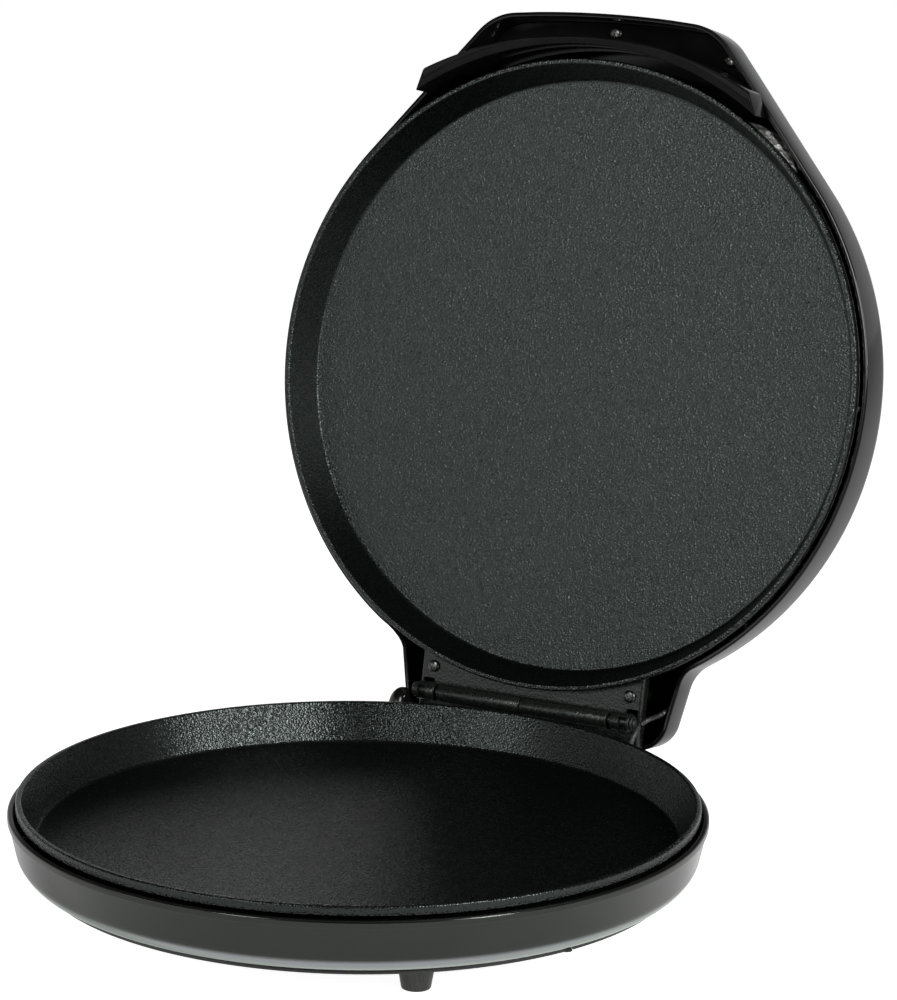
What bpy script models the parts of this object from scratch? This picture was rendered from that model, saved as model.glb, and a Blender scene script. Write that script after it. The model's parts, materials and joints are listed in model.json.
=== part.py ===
"""Electric pizza maker: a round base and a round lid, each holding a shallow
non-stick cooking plate, joined at the back by an interlocking barrel hinge.

Run it with  blender --background --python part.py  or from the text editor.
Lengths are in metres and +Z is up.  The rest pose is the lid at its open stop.

Every base piece is written in a frame whose origin is the centre of the lower
plate's rim plane.  Every lid piece is written in the same frame as if the lid
were closed, and hangs from an empty on the hinge axis that carries it to its
open stop, so both halves share one set of seats and clearances.
"""

import math

import bmesh
import bpy
from mathutils import Vector

# Fits that many pieces share.
GAP = 0.0003
WELD = 0.000001
OVERRUN = 0.002
BITE = 0.0006
BIG_SEGMENTS = 48
MIDDLE_SEGMENTS = 24
SMALL_SEGMENTS = 12
TINY_SEGMENTS = 8

# Cooking plates: both are the same dish, with rims that meet when closed.
PLATE_RADIUS = 0.1630
PLATE_RIM_WIDTH = 0.0027
PLATE_BAND_HEIGHT = 0.0045
PLATE_BAND_PROUD = 0.0014
PLATE_WALL = 0.0024
PLATE_WALL_RUN = 0.0069
PLATE_FLOOR_RADIUS = PLATE_RADIUS - PLATE_RIM_WIDTH - PLATE_WALL_RUN
PLATE_DEPTH = 0.0195
PLATE_CORNER = 0.0030
PLATE_RIM_ROUND = 0.0007
LOWER_FLOOR = 0.0028
UPPER_FLOOR = 0.0026
RIM_CLEARANCE = 0.0004
BOSS_RADIUS = 0.0065
BOSS_LENGTH = 0.0072
BOSS_BORE = 0.0023
BOSS_BORE_DEPTH = 0.0060

# Stance and opening: the hinge axis stands behind the plates' rims.
OPEN_ANGLE_DEG = 101.1
HINGE_SETBACK = 0.00935
HINGE_REACH = PLATE_RADIUS + HINGE_SETBACK
HINGE_RISE = 0.0015

# Base housing: a turned ring with a proud lip, and a hinge shelf behind it.
LIP_PROUD = 0.0039
LIP_RADIUS = PLATE_RADIUS + LIP_PROUD
LIP_DROP = 0.0056
LIP_WIDTH = 0.0030
LIP_HEIGHT = 0.0034
HOUSING_WALL = 0.0024
HOUSING_ROOM = 0.0004
HOUSING_TOP_RADIUS = PLATE_RADIUS + HOUSING_ROOM
HOUSING_TAPER = 0.0014
HOUSING_FOOT_RADIUS = HOUSING_TOP_RADIUS - HOUSING_TAPER
HOUSING_HEADROOM = 0.0058
HOUSING_EDGE_DROP = PLATE_DEPTH + HOUSING_HEADROOM
HOUSING_EDGE_ROUND = 0.0075
HOUSING_UNDERCUT = 0.0137
HOUSING_FLANGE_RADIUS = HOUSING_FOOT_RADIUS - HOUSING_UNDERCUT
RIB_THICKNESS = 0.0024
RIB_ANGLES_DEG = (-135.0, -90.0, -45.0, -20.0, 20.0, 45.0, 90.0, 135.0)
LID_RIB_ANGLES_DEG = (-135.0, -90.0, -45.0, 45.0, 90.0, 135.0)
RIB_LEDGE = 0.0050
SHELF_HALF = 0.0770
SHELF_BEHIND = 0.00465
SHELF_REACH = HINGE_REACH + SHELF_BEHIND
SHELF_DROP = 0.0175
SHELF_CORNER = 0.0120
SHELF_LAP_TOP = 0.0018
SHELF_FRONT_TOP = HOUSING_TOP_RADIUS - SHELF_LAP_TOP
SHELF_LAP_FOOT = 0.0070
SHELF_FRONT_FOOT = HOUSING_FOOT_RADIUS - SHELF_LAP_FOOT
SHELF_FRONT_STEPS = 8
EAR_INSET = 0.0080
EAR_CENTRE_X = SHELF_HALF - EAR_INSET
EAR_AHEAD = 0.00435
EAR_CENTRE_Y = HINGE_REACH - EAR_AHEAD
EAR_DROP = 0.0094
EAR_RADII = (0.0080, 0.0070, 0.0120)
EAR_HALF = 0.0032
EAR_INNER = EAR_CENTRE_X - EAR_HALF

# Bottom cover, feet and their pads.
COVER_LAP = 0.0045
COVER_RADIUS = HOUSING_FLANGE_RADIUS + COVER_LAP
COVER_THICKNESS = 0.0018
COVER_TAB_INSET = 0.0030
VENT_LENGTH = 0.0300
VENT_WIDTH = 0.0040
VENT_PITCH = 0.0100
VENT_ROWS = 5
FOOT_INSET = 0.0203
FOOT_RING = HOUSING_FLANGE_RADIUS - FOOT_INSET
FOOT_SPREAD_DEG = 41.2
FOOT_HEIGHT = 0.0159
FOOT_TOP_RADIUS = 0.0093
FOOT_BOTTOM_RADIUS = 0.0067
FOOT_NECK_RADIUS = 0.0034
FOOT_HEAD_RADIUS = 0.0046
FOOT_HEAD_HEIGHT = 0.0014
FOOT_SHORT = 0.0005
PAD_RADIUS = 0.0050
PAD_THICKNESS = 0.0022
RIM_HEIGHT = HOUSING_EDGE_DROP + HOUSING_EDGE_ROUND + COVER_THICKNESS + 2 * GAP + FOOT_HEIGHT

# Screws: a head, a shank and the hole that lets the shank through.
SCREW_HEAD_RADIUS = 0.0033
SCREW_HEAD_HEIGHT = 0.0018
SCREW_HEAD_FLAT_SHARE = 0.6
SCREW_RADIUS = 0.0016
SCREW_HOLE = 0.0020
COVER_SCREW_OUTSET = 0.0030
COVER_SCREW_RING = HOUSING_FLANGE_RADIUS + COVER_SCREW_OUTSET
COVER_SCREW_LENGTH = 0.0075
COVER_SCREW_SINK = 0.0014
COVER_SCREW_ANGLES_DEG = (-112.5, -67.5, 67.5, 112.5)
COVER_BOSS_RADIUS = 0.0036
COVER_BOSS_HEIGHT = 0.0085

# Heating elements, their straps, shields, thermostats and fuses.
ELEMENT_TUBE = 0.0029
ELEMENT_INSET = 0.0554
ELEMENT_RADIUS = PLATE_FLOOR_RADIUS - ELEMENT_INSET
ELEMENT_GATE_DEG = 11.0
ELEMENT_BEND = 0.0120
ELEMENT_BEND_SHARES = (0.95, 0.45, 0.25, 0.8)
ELEMENT_LEG = 0.0285
ELEMENT_LEG_END = ELEMENT_RADIUS + ELEMENT_LEG
ELEMENT_STEPS = 24
STRAP_ANGLES_DEG = (-80.0, 0.0, 80.0)
STRAP_WIDTH = 0.0080
STRAP_THICKNESS = 0.0007
STRAP_FOOT = 0.0060
STRAP_ROOM = 0.0009
STRAP_SHOULDER_SHARE = 0.45
SHIELD_MARGIN = 0.0240
SHIELD_RADIUS = ELEMENT_RADIUS + SHIELD_MARGIN
SHIELD_THICKNESS = 0.0008
SHIELD_CURL = 0.0008
SHIELD_DISH = 0.0030
SHIELD_SCREW_HEAD = 0.0050
THERMOSTAT_RADIUS = 0.0085
THERMOSTAT_HEIGHT = 0.0048
THERMOSTAT_FLANGE = 0.0105
THERMOSTAT_SHARES = (0.2, 0.8, 0.7)
THERMOSTAT_PLACE = (0.0420, 0.0300)
FUSE_RADIUS = 0.0020
FUSE_LENGTH = 0.0180
FUSE_PLACE = (-0.0420, 0.0300)
BLOCK_SIZE = (0.0340, 0.0110, 0.0080)
BLOCK_BEHIND = 0.0080
BLOCK_PLACE_Y = ELEMENT_LEG_END + BLOCK_BEHIND
BLOCK_EDGE = 0.0008
LEG_SPREAD = 0.0110

# Hinge: a long base knuckle, a long lid knuckle and two end lugs on one pin.
BARREL_RADIUS = 0.0048
PIN_RADIUS = 0.00225
KNUCKLE_INSET = 0.0280
KNUCKLE_END = SHELF_HALF - KNUCKLE_INSET
KNUCKLE_SPLIT = 0.0012
KNUCKLE_GAP = 0.0006
LUG_GAP = 0.0022
LUG_INNER = KNUCKLE_END + LUG_GAP
LUG_LENGTH = 0.0106
LUG_OUTER = LUG_INNER + LUG_LENGTH
LUG_WEB = 0.0030
LUG_WINDOW = 0.0046
WINDOW_HEIGHT_SHARE = 1.15
WINDOW_RISE_SHARE = 0.2
WEB_THICKNESS = 0.0038
PIN_HEAD_RADIUS = 0.0040
PIN_HEAD_LENGTH = 0.0024
PIN_HEAD_SHARES = (0.6, 0.7)
PIN_CHAMFER_SHARES = (0.8, 0.2)
PIN_TAIL = 0.0014
CLIP_RADIUS = 0.0038
CLIP_THICKNESS = 0.0010
BRACKET_FOOT = 0.0024
BRACKET_REACH = 0.0024
BRACKET_LEDGE = 0.0036
BRACKET_LEDGE_HEIGHT = 0.0013
BRACKET_SCREW_SHARES = (0.25, 0.75)
BRACKET_SCREW_OFFSET = 0.0014

# Lid hinge plate, a channel that carries the lid on the hinge.
CHANNEL_MARGIN = 0.0024
CHANNEL_HALF = LUG_OUTER + CHANNEL_MARGIN
CHANNEL_THICKNESS = 0.0024
CHANNEL_DEPTH = 0.0062
CHANNEL_AHEAD = 0.03435
CHANNEL_FRONT = HINGE_REACH - CHANNEL_AHEAD
CHANNEL_BEHIND = 0.01315
CHANNEL_REAR = HINGE_REACH + CHANNEL_BEHIND
CHANNEL_LIFT = 0.0005
CHANNEL_PLATE_GAP = 0.0007
WINDOW_FRONT = 0.0068
WINDOW_REAR = 0.0058
WINDOW_OUTER = 0.0008
LID_SCREW_INSET = 0.0049
LID_SCREW_AHEAD = 0.01285
LID_SCREW_PLACE = (LUG_OUTER - LID_SCREW_INSET, HINGE_REACH - LID_SCREW_AHEAD)
LID_SCREW_HEAD = 0.0032
LID_BOSS_RADIUS = 0.0046

# Lid shell: a round cover drawn out into a visor in front and a tail behind.
LID_ROOM = 0.0038
LID_RADIUS = PLATE_RADIUS + LID_ROOM
LID_RIM = 0.0066
LID_WALL = 0.0024
LID_DRAFT = 0.0006
LID_HEADROOM = 0.0090
LID_SHOULDER = PLATE_DEPTH + LID_HEADROOM
LID_ROUND = 0.0140
LID_CROWN = 0.0022
CROWN_RING_SHARES = (0.62, 0.30)
CROWN_RISE_SHARES = (0.62, 0.92)
VISOR_TANGENT_DEG = 51.0
VISOR_PROUD = 0.0200
VISOR_REACH = LID_RADIUS + VISOR_PROUD
VISOR_BOW = 0.6000
VISOR_CORNER = 0.0300
VISOR_STRAIGHT_SHARE = 0.75
VISOR_STEPS = 4
TAIL_MARGIN = 0.0094
TAIL_HALF_REAR = CHANNEL_HALF + TAIL_MARGIN
TAIL_FLARE = 0.0064
TAIL_HALF_FRONT = TAIL_HALF_REAR + TAIL_FLARE
TAIL_BEHIND = 0.01485
TAIL_REACH = HINGE_REACH + TAIL_BEHIND
TAIL_FILLET = 0.0200
TAIL_CORNER = 0.0170
TAIL_RIM = 0.0135
TAIL_RAMP_AHEAD = (0.03435, 0.01835)
TAIL_RAMP = (HINGE_REACH - TAIL_RAMP_AHEAD[0], HINGE_REACH - TAIL_RAMP_AHEAD[1])

# Handle grip: the curved skirt under the visor that keeps fingers off the plate.
GRIP_ROOM = 0.0064
GRIP_INNER = PLATE_RADIUS + GRIP_ROOM
GRIP_WIDTH = 0.0043
GRIP_BOW_RADIUS = 0.2000
GRIP_BOW_CENTRE = GRIP_BOW_RADIUS - GRIP_INNER - GRIP_WIDTH
GRIP_DROP_INNER = 0.0085
GRIP_DROP_OUTER = 0.0105
GRIP_SEAT = 0.0062
GRIP_RECESS = 0.0015
GRIP_TOP = LID_SHOULDER - GRIP_RECESS
GRIP_END_INNER_DEG = 34.8
GRIP_END_OUTER_DEG = 31.4
GRIP_TONGUE_DEG = 27.5
GRIP_STEPS = 14
GRIP_FLANGE = 0.0022
GRIP_FLANGE_SHARE = 0.46763
GRIP_FLANGE_BACK_SHARE = 0.94
GRIP_SCREW_SETBACK = 0.0080
GRIP_SCREW_INSET = 0.0060
GRIP_SCREW_RING = VISOR_REACH - GRIP_SCREW_INSET
GRIP_SCREW_BEYOND_DEG = 2.36
GRIP_BOSS_RADIUS = 0.0036

# Insulation, lamps and leads.
FOIL_THICKNESS = 0.0006
FOIL_STANDOFF = 0.0005
FOIL_END_DEG = 153.0
FOIL_STEPS = 44
LAMP_SPREAD = 0.0130
LAMP_SETBACK = 0.0448
LAMP_RADIUS = 0.0050
LAMP_STEM = 0.0036
LAMP_STEM_LENGTH = 0.0070
LAMP_DOME = 0.0016
LAMP_DOME_SHARES = (0.6, 0.8, 0.3)
LAMP_SEAT = 0.0005
LEAD_RADIUS = 0.0013
LEAD_AHEAD = 0.00735
LEAD_PLACE = (CHANNEL_HALF + GAP, HINGE_REACH - LEAD_AHEAD)
LEAD_AXIS_ROOM = 0.0042
LEAD_AXIS_X = LUG_OUTER + LEAD_AXIS_ROOM
LEAD_DROP = 0.0250
LEAD_TAIL_ROOM = 0.0097
LEAD_TAIL_X = LUG_OUTER + LEAD_TAIL_ROOM
LEAD_RISE_SHARES = (0.45, 0.75, 0.8)
LEAD_BEND_SHARES = (1.5, 2.2)
GROMMET_RADIUS = 0.0042
GROMMET_FLANGE = 0.0012
GLAND_PLACE_SHARE = 0.5844
GLAND_RADIUS = (HOUSING_EDGE_DROP + HOUSING_EDGE_ROUND - SHELF_DROP - HOUSING_WALL) / 2
GLAND_NECK_SHARE = 0.706
GLAND_BORE_SHARE = 0.456
GLAND_TAPER_SHARE = 1.15
GLAND_COLLAR_SHARE = 0.9
GLAND_LENGTH = 0.0090
GLAND_FLANGE = 0.0018

BODIES = {}


def clear_scene():
    """Remove whatever objects the file opened with."""
    for old in list(bpy.data.objects):
        bpy.data.objects.remove(old, do_unlink=True)


def material(name, colour, roughness, metallic=0.0):
    """A Principled material, made once and shared by name."""
    found = bpy.data.materials.get(name)
    if found:
        return found
    made = bpy.data.materials.new(name)
    made.use_nodes = True
    shader = made.node_tree.nodes["Principled BSDF"]
    shader.inputs["Base Color"].default_value = (*colour, 1.0)
    shader.inputs["Roughness"].default_value = roughness
    shader.inputs["Metallic"].default_value = metallic
    made.diffuse_color = (*colour, 1.0)
    return made


def nonstick():
    return material("nonstick_coating", (0.045, 0.047, 0.046), 0.42, 0.2)


def gloss_black():
    return material("gloss_black_plastic", (0.018, 0.018, 0.017), 0.12)


def band_plastic():
    return material("dark_band_plastic", (0.050, 0.049, 0.046), 0.18)


def bare_steel():
    return material("bare_steel", (0.55, 0.55, 0.54), 0.35, 1.0)


def black_steel():
    return material("black_steel", (0.030, 0.030, 0.030), 0.40, 0.6)


def aluminised_sheet():
    return material("aluminised_sheet", (0.70, 0.70, 0.69), 0.38, 1.0)


def rubber():
    return material("rubber", (0.020, 0.020, 0.020), 0.80)


def ceramic():
    return material("white_ceramic", (0.75, 0.73, 0.68), 0.50)


def red_lens():
    return material("red_lens", (0.55, 0.02, 0.015), 0.15)


def green_lens():
    return material("green_lens", (0.02, 0.35, 0.06), 0.15)


def silicone():
    return material("black_sleeve", (0.015, 0.015, 0.015), 0.35)


def empty(name, parent, location=(0.0, 0.0, 0.0)):
    """An empty that carries a body."""
    made = bpy.data.objects.new(name, None)
    bpy.context.scene.collection.objects.link(made)
    made.parent = parent
    made.location = location
    return made


def put(mesh, name, look, body, location=(0.0, 0.0, 0.0), rotation=(0.0, 0.0, 0.0)):
    """Link a mesh as one named piece of a body, at a place in the shared closed frame."""
    made = bpy.data.objects.new(name, mesh)
    bpy.context.scene.collection.objects.link(made)
    if look:
        mesh.materials.append(look)
    carrier = BODIES[body]
    made.parent = carrier
    start = Vector((0.0, 0.0, 0.0))
    if body == "lid":
        start = Vector((0.0, HINGE_REACH, HINGE_RISE))
    made.location = Vector(location) - start
    made.rotation_euler = rotation
    return made


def mesh_from(bm, name, smooth_deg=32.0):
    """Close a bmesh into a mesh with outward faces and sharp edges by angle."""
    bmesh.ops.remove_doubles(bm, verts=bm.verts, dist=WELD)
    bmesh.ops.recalc_face_normals(bm, faces=bm.faces)
    mesh = bpy.data.meshes.new(name)
    bm.to_mesh(mesh)
    bm.free()
    mesh.shade_smooth()
    mesh.set_sharp_from_angle(angle=math.radians(smooth_deg))
    return mesh


def turned(name, profile, segments=SMALL_SEGMENTS):
    """A solid of revolution about Z from the (radius, height) points of a closed profile."""
    bm = bmesh.new()
    points = [bm.verts.new((radius, 0.0, height)) for radius, height in profile]
    edges = []
    for first, second in zip(points, points[1:] + points[:1]):
        if first.co.x > WELD or second.co.x > WELD:
            edges.append(bm.edges.new((first, second)))
    bmesh.ops.spin(bm, geom=points + edges, cent=(0.0, 0.0, 0.0), axis=(0.0, 0.0, 1.0),
                   angle=math.tau, steps=segments, use_merge=True)
    return mesh_from(bm, name)


def extruded(name, outline, low, high, axes="xyz"):
    """A prism: outline points lie on the first two axes, and it runs along the third."""
    order = [axes.index(letter) for letter in "xyz"]
    bm = bmesh.new()
    ends = []
    for level in (low, high):
        ring = []
        for first, second in outline:
            triple = (first, second, level)
            ring.append(bm.verts.new([triple[place] for place in order]))
        ends.append(ring)
    bm.faces.new(ends[0])
    bm.faces.new(list(reversed(ends[1])))
    count = len(outline)
    for index in range(count):
        after = (index + 1) % count
        bm.faces.new((ends[0][index], ends[1][index], ends[1][after], ends[0][after]))
    return mesh_from(bm, name)


def lofted(name, rings):
    """A solid through closed rings of equal count, capped on its first and last ring."""
    bm = bmesh.new()
    loops = [[bm.verts.new(point) for point in ring] for ring in rings]
    count = len(rings[0])
    for lower, upper in zip(loops, loops[1:]):
        for index in range(count):
            after = (index + 1) % count
            bm.faces.new((lower[index], lower[after], upper[after], upper[index]))
    bm.faces.new(loops[0])
    bm.faces.new(list(reversed(loops[-1])))
    return mesh_from(bm, name)


def boolean(target, tool_mesh, operation, body, location=(0.0, 0.0, 0.0),
            rotation=(0.0, 0.0, 0.0), solver="EXACT"):
    """Join or cut a piece with a hidden helper shape."""
    helper = put(tool_mesh, "helper_" + target.name, None, body, location, rotation)
    helper.hide_render = True
    helper.hide_viewport = True
    helper.display_type = "WIRE"
    step = target.modifiers.new(operation.lower(), "BOOLEAN")
    step.operation = operation
    step.solver = solver
    step.object = helper
    return helper


def rod(name, radius, length, segments=SMALL_SEGMENTS):
    """A plain cylinder centred on its own origin, along Z."""
    half = length / 2
    return turned(name, [(0.0, half), (radius, half), (radius, -half), (0.0, -half)], segments)


def along_x():
    """The turn that lays a Z cylinder along X."""
    return (0.0, math.pi / 2, 0.0)


def box(name, size):
    """A block centred on its own origin."""
    half_x = size[0] / 2
    half_y = size[1] / 2
    outline = [(-half_x, -half_y), (half_x, -half_y), (half_x, half_y), (-half_x, half_y)]
    return extruded(name, outline, -size[2] / 2, size[2] / 2)


def quarter(centre, radius, start_deg, end_deg, steps):
    """Points of an arc, both ends included."""
    points = []
    for index in range(steps + 1):
        angle = math.radians(start_deg + (end_deg - start_deg) * index / steps)
        points.append((centre[0] + radius * math.cos(angle), centre[1] + radius * math.sin(angle)))
    return points


def ring_place(radius, angle_deg):
    """A place on a circle; the angle runs from the front, and is positive to the right."""
    angle = math.radians(angle_deg)
    return (radius * math.sin(angle), -radius * math.cos(angle))


def flipped(profile):
    """A base profile turned upside down for the lid, with the closing clearance."""
    return [(radius, RIM_CLEARANCE - height) for radius, height in reversed(profile)]


def plate_outer_radius(drop):
    """Outer radius of a plate's sloping wall at a depth below its rim."""
    slope = (PLATE_RADIUS - PLATE_RIM_WIDTH - PLATE_FLOOR_RADIUS) / PLATE_DEPTH
    return PLATE_RADIUS - PLATE_RIM_WIDTH + PLATE_WALL - slope * drop


def plate_profile(floor):
    """Dish section, rim at height zero, with a central boss and its blind bore."""
    underside = -PLATE_DEPTH - floor
    band_radius = min(PLATE_RADIUS, plate_outer_radius(PLATE_BAND_HEIGHT) + PLATE_BAND_PROUD)
    slope = (PLATE_RADIUS - PLATE_RIM_WIDTH - PLATE_FLOOR_RADIUS) / PLATE_DEPTH
    corner_rise = PLATE_CORNER * (1.0 - slope)
    boss_end = underside - BOSS_LENGTH
    return [
        (0.0, -PLATE_DEPTH),
        (PLATE_FLOOR_RADIUS - PLATE_CORNER, -PLATE_DEPTH),
        (PLATE_FLOOR_RADIUS + slope * corner_rise, -PLATE_DEPTH + corner_rise),
        (PLATE_RADIUS - PLATE_RIM_WIDTH, -PLATE_RIM_ROUND),
        (PLATE_RADIUS - PLATE_RIM_WIDTH + PLATE_RIM_ROUND, 0.0),
        (PLATE_RADIUS - PLATE_RIM_ROUND, 0.0),
        (PLATE_RADIUS, -PLATE_RIM_ROUND),
        (band_radius, -PLATE_BAND_HEIGHT),
        (plate_outer_radius(PLATE_BAND_HEIGHT), -PLATE_BAND_HEIGHT),
        (plate_outer_radius(PLATE_DEPTH), -PLATE_DEPTH),
        (plate_outer_radius(PLATE_DEPTH) - PLATE_CORNER, underside),
        (BOSS_RADIUS, underside),
        (BOSS_RADIUS, boss_end),
        (BOSS_BORE, boss_end),
        (BOSS_BORE, boss_end + BOSS_BORE_DEPTH),
        (0.0, boss_end + BOSS_BORE_DEPTH),
    ]


def cooking_plates():
    put(turned("lower_plate", plate_profile(LOWER_FLOOR), BIG_SEGMENTS),
        "lower_cooking_plate", nonstick(), "base")
    put(turned("upper_plate", flipped(plate_profile(UPPER_FLOOR)), BIG_SEGMENTS),
        "upper_cooking_plate", nonstick(), "lid")


def housing_bottom():
    """Height of the base housing's lower face under the rim plane."""
    return -HOUSING_EDGE_DROP - HOUSING_EDGE_ROUND


def housing_profile():
    """Section of the base ring: lip, ledge, drafted wall, rounded edge and bottom flange."""
    lip_top = -LIP_DROP
    lip_foot = lip_top - LIP_HEIGHT
    ledge = lip_foot + HOUSING_WALL / 2
    edge_centre = (HOUSING_FOOT_RADIUS - HOUSING_EDGE_ROUND, -HOUSING_EDGE_DROP)
    outer_edge = quarter(edge_centre, HOUSING_EDGE_ROUND, 0.0, -90.0, 3)
    inner_edge = quarter(edge_centre, HOUSING_EDGE_ROUND - HOUSING_WALL, -90.0, 0.0, 2)
    bottom = housing_bottom()
    profile = [
        (LIP_RADIUS - LIP_WIDTH, ledge),
        (LIP_RADIUS - LIP_WIDTH, lip_top),
        (LIP_RADIUS, lip_top),
        (LIP_RADIUS, lip_foot),
        (HOUSING_TOP_RADIUS, lip_foot),
    ]
    profile += outer_edge
    profile += [(HOUSING_FLANGE_RADIUS, bottom), (HOUSING_FLANGE_RADIUS, bottom + HOUSING_WALL)]
    profile += inner_edge
    profile.append((HOUSING_TOP_RADIUS - HOUSING_WALL, ledge))
    return profile


def rib_profile():
    """Section of a locating rib: it stands off the plate's wall and carries its floor."""
    top = -LIP_DROP - LIP_HEIGHT
    seat = -PLATE_DEPTH - LOWER_FLOOR - GAP
    buried = HOUSING_WALL / 2
    edge_centre = (HOUSING_FOOT_RADIUS - HOUSING_EDGE_ROUND, -HOUSING_EDGE_DROP)
    inner = plate_outer_radius(PLATE_DEPTH)
    profile = [
        (HOUSING_TOP_RADIUS - buried, top),
        (plate_outer_radius(-top) + GAP, top),
        (inner + GAP, -PLATE_DEPTH),
        (inner, seat),
        (inner - RIB_LEDGE, seat),
        (inner - RIB_LEDGE, housing_bottom() + buried),
    ]
    profile += quarter(edge_centre, HOUSING_EDGE_ROUND - buried, -90.0, 0.0, 3)
    return profile


def shelf_outline(inset, front_radius):
    """Plan of the hinge shelf: rounded rear corners, and a front that follows the ring."""
    half = SHELF_HALF - inset
    reach = SHELF_REACH - inset
    corner = SHELF_CORNER - inset
    right = quarter((half - corner, reach - corner), corner, 0.0, 90.0, 4)
    left = [(-x, y) for x, y in reversed(right)]
    edge = math.degrees(math.asin(half / front_radius))
    front = quarter((0.0, 0.0), front_radius, 90.0 + edge, 90.0 - edge, SHELF_FRONT_STEPS)
    return right + left + front


def ear_mesh():
    """An upright ellipsoid cut flat on the side that faces the hinge."""
    rings = SMALL_SEGMENTS // 2
    profile = []
    for index in range(rings + 1):
        angle = math.pi / 2 - math.pi * index / rings
        profile.append((math.cos(angle) if 0 < index < rings else 0.0, math.sin(angle)))
    mesh = turned("ear", profile)
    bm = bmesh.new()
    bm.from_mesh(mesh)
    for vertex in bm.verts:
        vertex.co = [place * radius for place, radius in zip(vertex.co, EAR_RADII)]
    everything = list(bm.verts) + list(bm.edges) + list(bm.faces)
    flat = (EAR_CENTRE_X - EAR_INNER, 0.0, 0.0)
    cut = bmesh.ops.bisect_plane(bm, geom=everything, plane_co=flat, plane_no=(1.0, 0.0, 0.0),
                                 clear_outer=True)
    rim = [item for item in cut["geom_cut"] if isinstance(item, bmesh.types.BMEdge)]
    bmesh.ops.contextual_create(bm, geom=rim)
    return mesh_from(bm, "ear")


def hinge_shelf(housing):
    """Hollow shelf that carries the hinge bracket, with its rounded ear on the left."""
    bottom = housing_bottom()
    foot = [(x, y, bottom + BITE) for x, y in shelf_outline(0.0, SHELF_FRONT_FOOT)]
    top = [(x, y, -SHELF_DROP) for x, y in shelf_outline(0.0, SHELF_FRONT_TOP)]
    boolean(housing, lofted("shelf", [foot, top]), "UNION", "base")
    boolean(housing, ear_mesh(), "UNION", "base", (-EAR_CENTRE_X, EAR_CENTRE_Y, -EAR_DROP))
    inner = shelf_outline(HOUSING_WALL, HOUSING_FLANGE_RADIUS - OVERRUN)
    hollow = extruded("shelf_hollow", inner, bottom - OVERRUN, -SHELF_DROP - HOUSING_WALL)
    boolean(housing, hollow, "DIFFERENCE", "base")


def bracket_screw_places():
    """Where the two bracket screws stand on the shelf."""
    places = []
    for share in BRACKET_SCREW_SHARES:
        across = -KNUCKLE_SPLIT - (KNUCKLE_END - KNUCKLE_SPLIT) * share
        places.append((across, HINGE_REACH - BRACKET_SCREW_OFFSET))
    return places


def base_housing():
    housing = put(turned("base_ring", housing_profile(), BIG_SEGMENTS), "base_housing",
                  band_plastic(), "base")
    for angle in RIB_ANGLES_DEG:
        rib = extruded("rib", rib_profile(), -RIB_THICKNESS / 2, RIB_THICKNESS / 2, "xzy")
        turn = (0.0, 0.0, math.radians(angle - 90.0))
        boolean(housing, rib, "UNION", "base", rotation=turn)
    for angle in COVER_SCREW_ANGLES_DEG:
        x, y = ring_place(COVER_SCREW_RING, angle)
        boss = rod("cover_boss", COVER_BOSS_RADIUS, COVER_BOSS_HEIGHT)
        level = housing_bottom() + COVER_BOSS_HEIGHT / 2
        boolean(housing, boss, "UNION", "base", (x, y, level + BITE))
        bore = rod("cover_bore", SCREW_HOLE, COVER_BOSS_HEIGHT)
        boolean(housing, bore, "DIFFERENCE", "base", (x, y, level - OVERRUN), solver="MANIFOLD")
    hinge_shelf(housing)
    for x, y in bracket_screw_places():
        hole = rod("shelf_hole", SCREW_HOLE, 2 * HOUSING_WALL + OVERRUN)
        boolean(housing, hole, "DIFFERENCE", "base", (x, y, -SHELF_DROP - HOUSING_WALL / 2))
    deep = 2 * HOUSING_WALL + OVERRUN
    lead_hole = rod("lead_hole", LEAD_RADIUS + 3 * GAP + GROMMET_FLANGE, deep)
    boolean(housing, lead_hole, "DIFFERENCE", "base", (*LEAD_PLACE, -SHELF_DROP - HOUSING_WALL / 2))
    gland_hole = rod("gland_hole", GLAND_RADIUS * GLAND_NECK_SHARE + GAP, deep)
    place = (-SHELF_HALF * GLAND_PLACE_SHARE, SHELF_REACH - HOUSING_WALL / 2, gland_height())
    boolean(housing, gland_hole, "DIFFERENCE", "base", place, (math.pi / 2, 0.0, 0.0))


def gland_height():
    """The cord gland sits halfway up the shelf's rear wall."""
    return (housing_bottom() - SHELF_DROP - HOUSING_WALL) / 2


def cover_outline():
    """Plan of the bottom cover: a disc with a tab under the hinge shelf."""
    half = SHELF_HALF - COVER_TAB_INSET
    reach = SHELF_REACH - COVER_TAB_INSET
    corner = SHELF_CORNER - COVER_TAB_INSET
    start = math.degrees(math.asin(half / COVER_RADIUS))
    disc = quarter((0.0, 0.0), COVER_RADIUS, 90.0 + start, 450.0 - start, 3 * BIG_SEGMENTS // 4)
    right = quarter((half - corner, reach - corner), corner, 0.0, 90.0, 3)
    left = [(-x, y) for x, y in reversed(right)]
    return disc + right + left


def cover_top():
    return housing_bottom() - GAP


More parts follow.
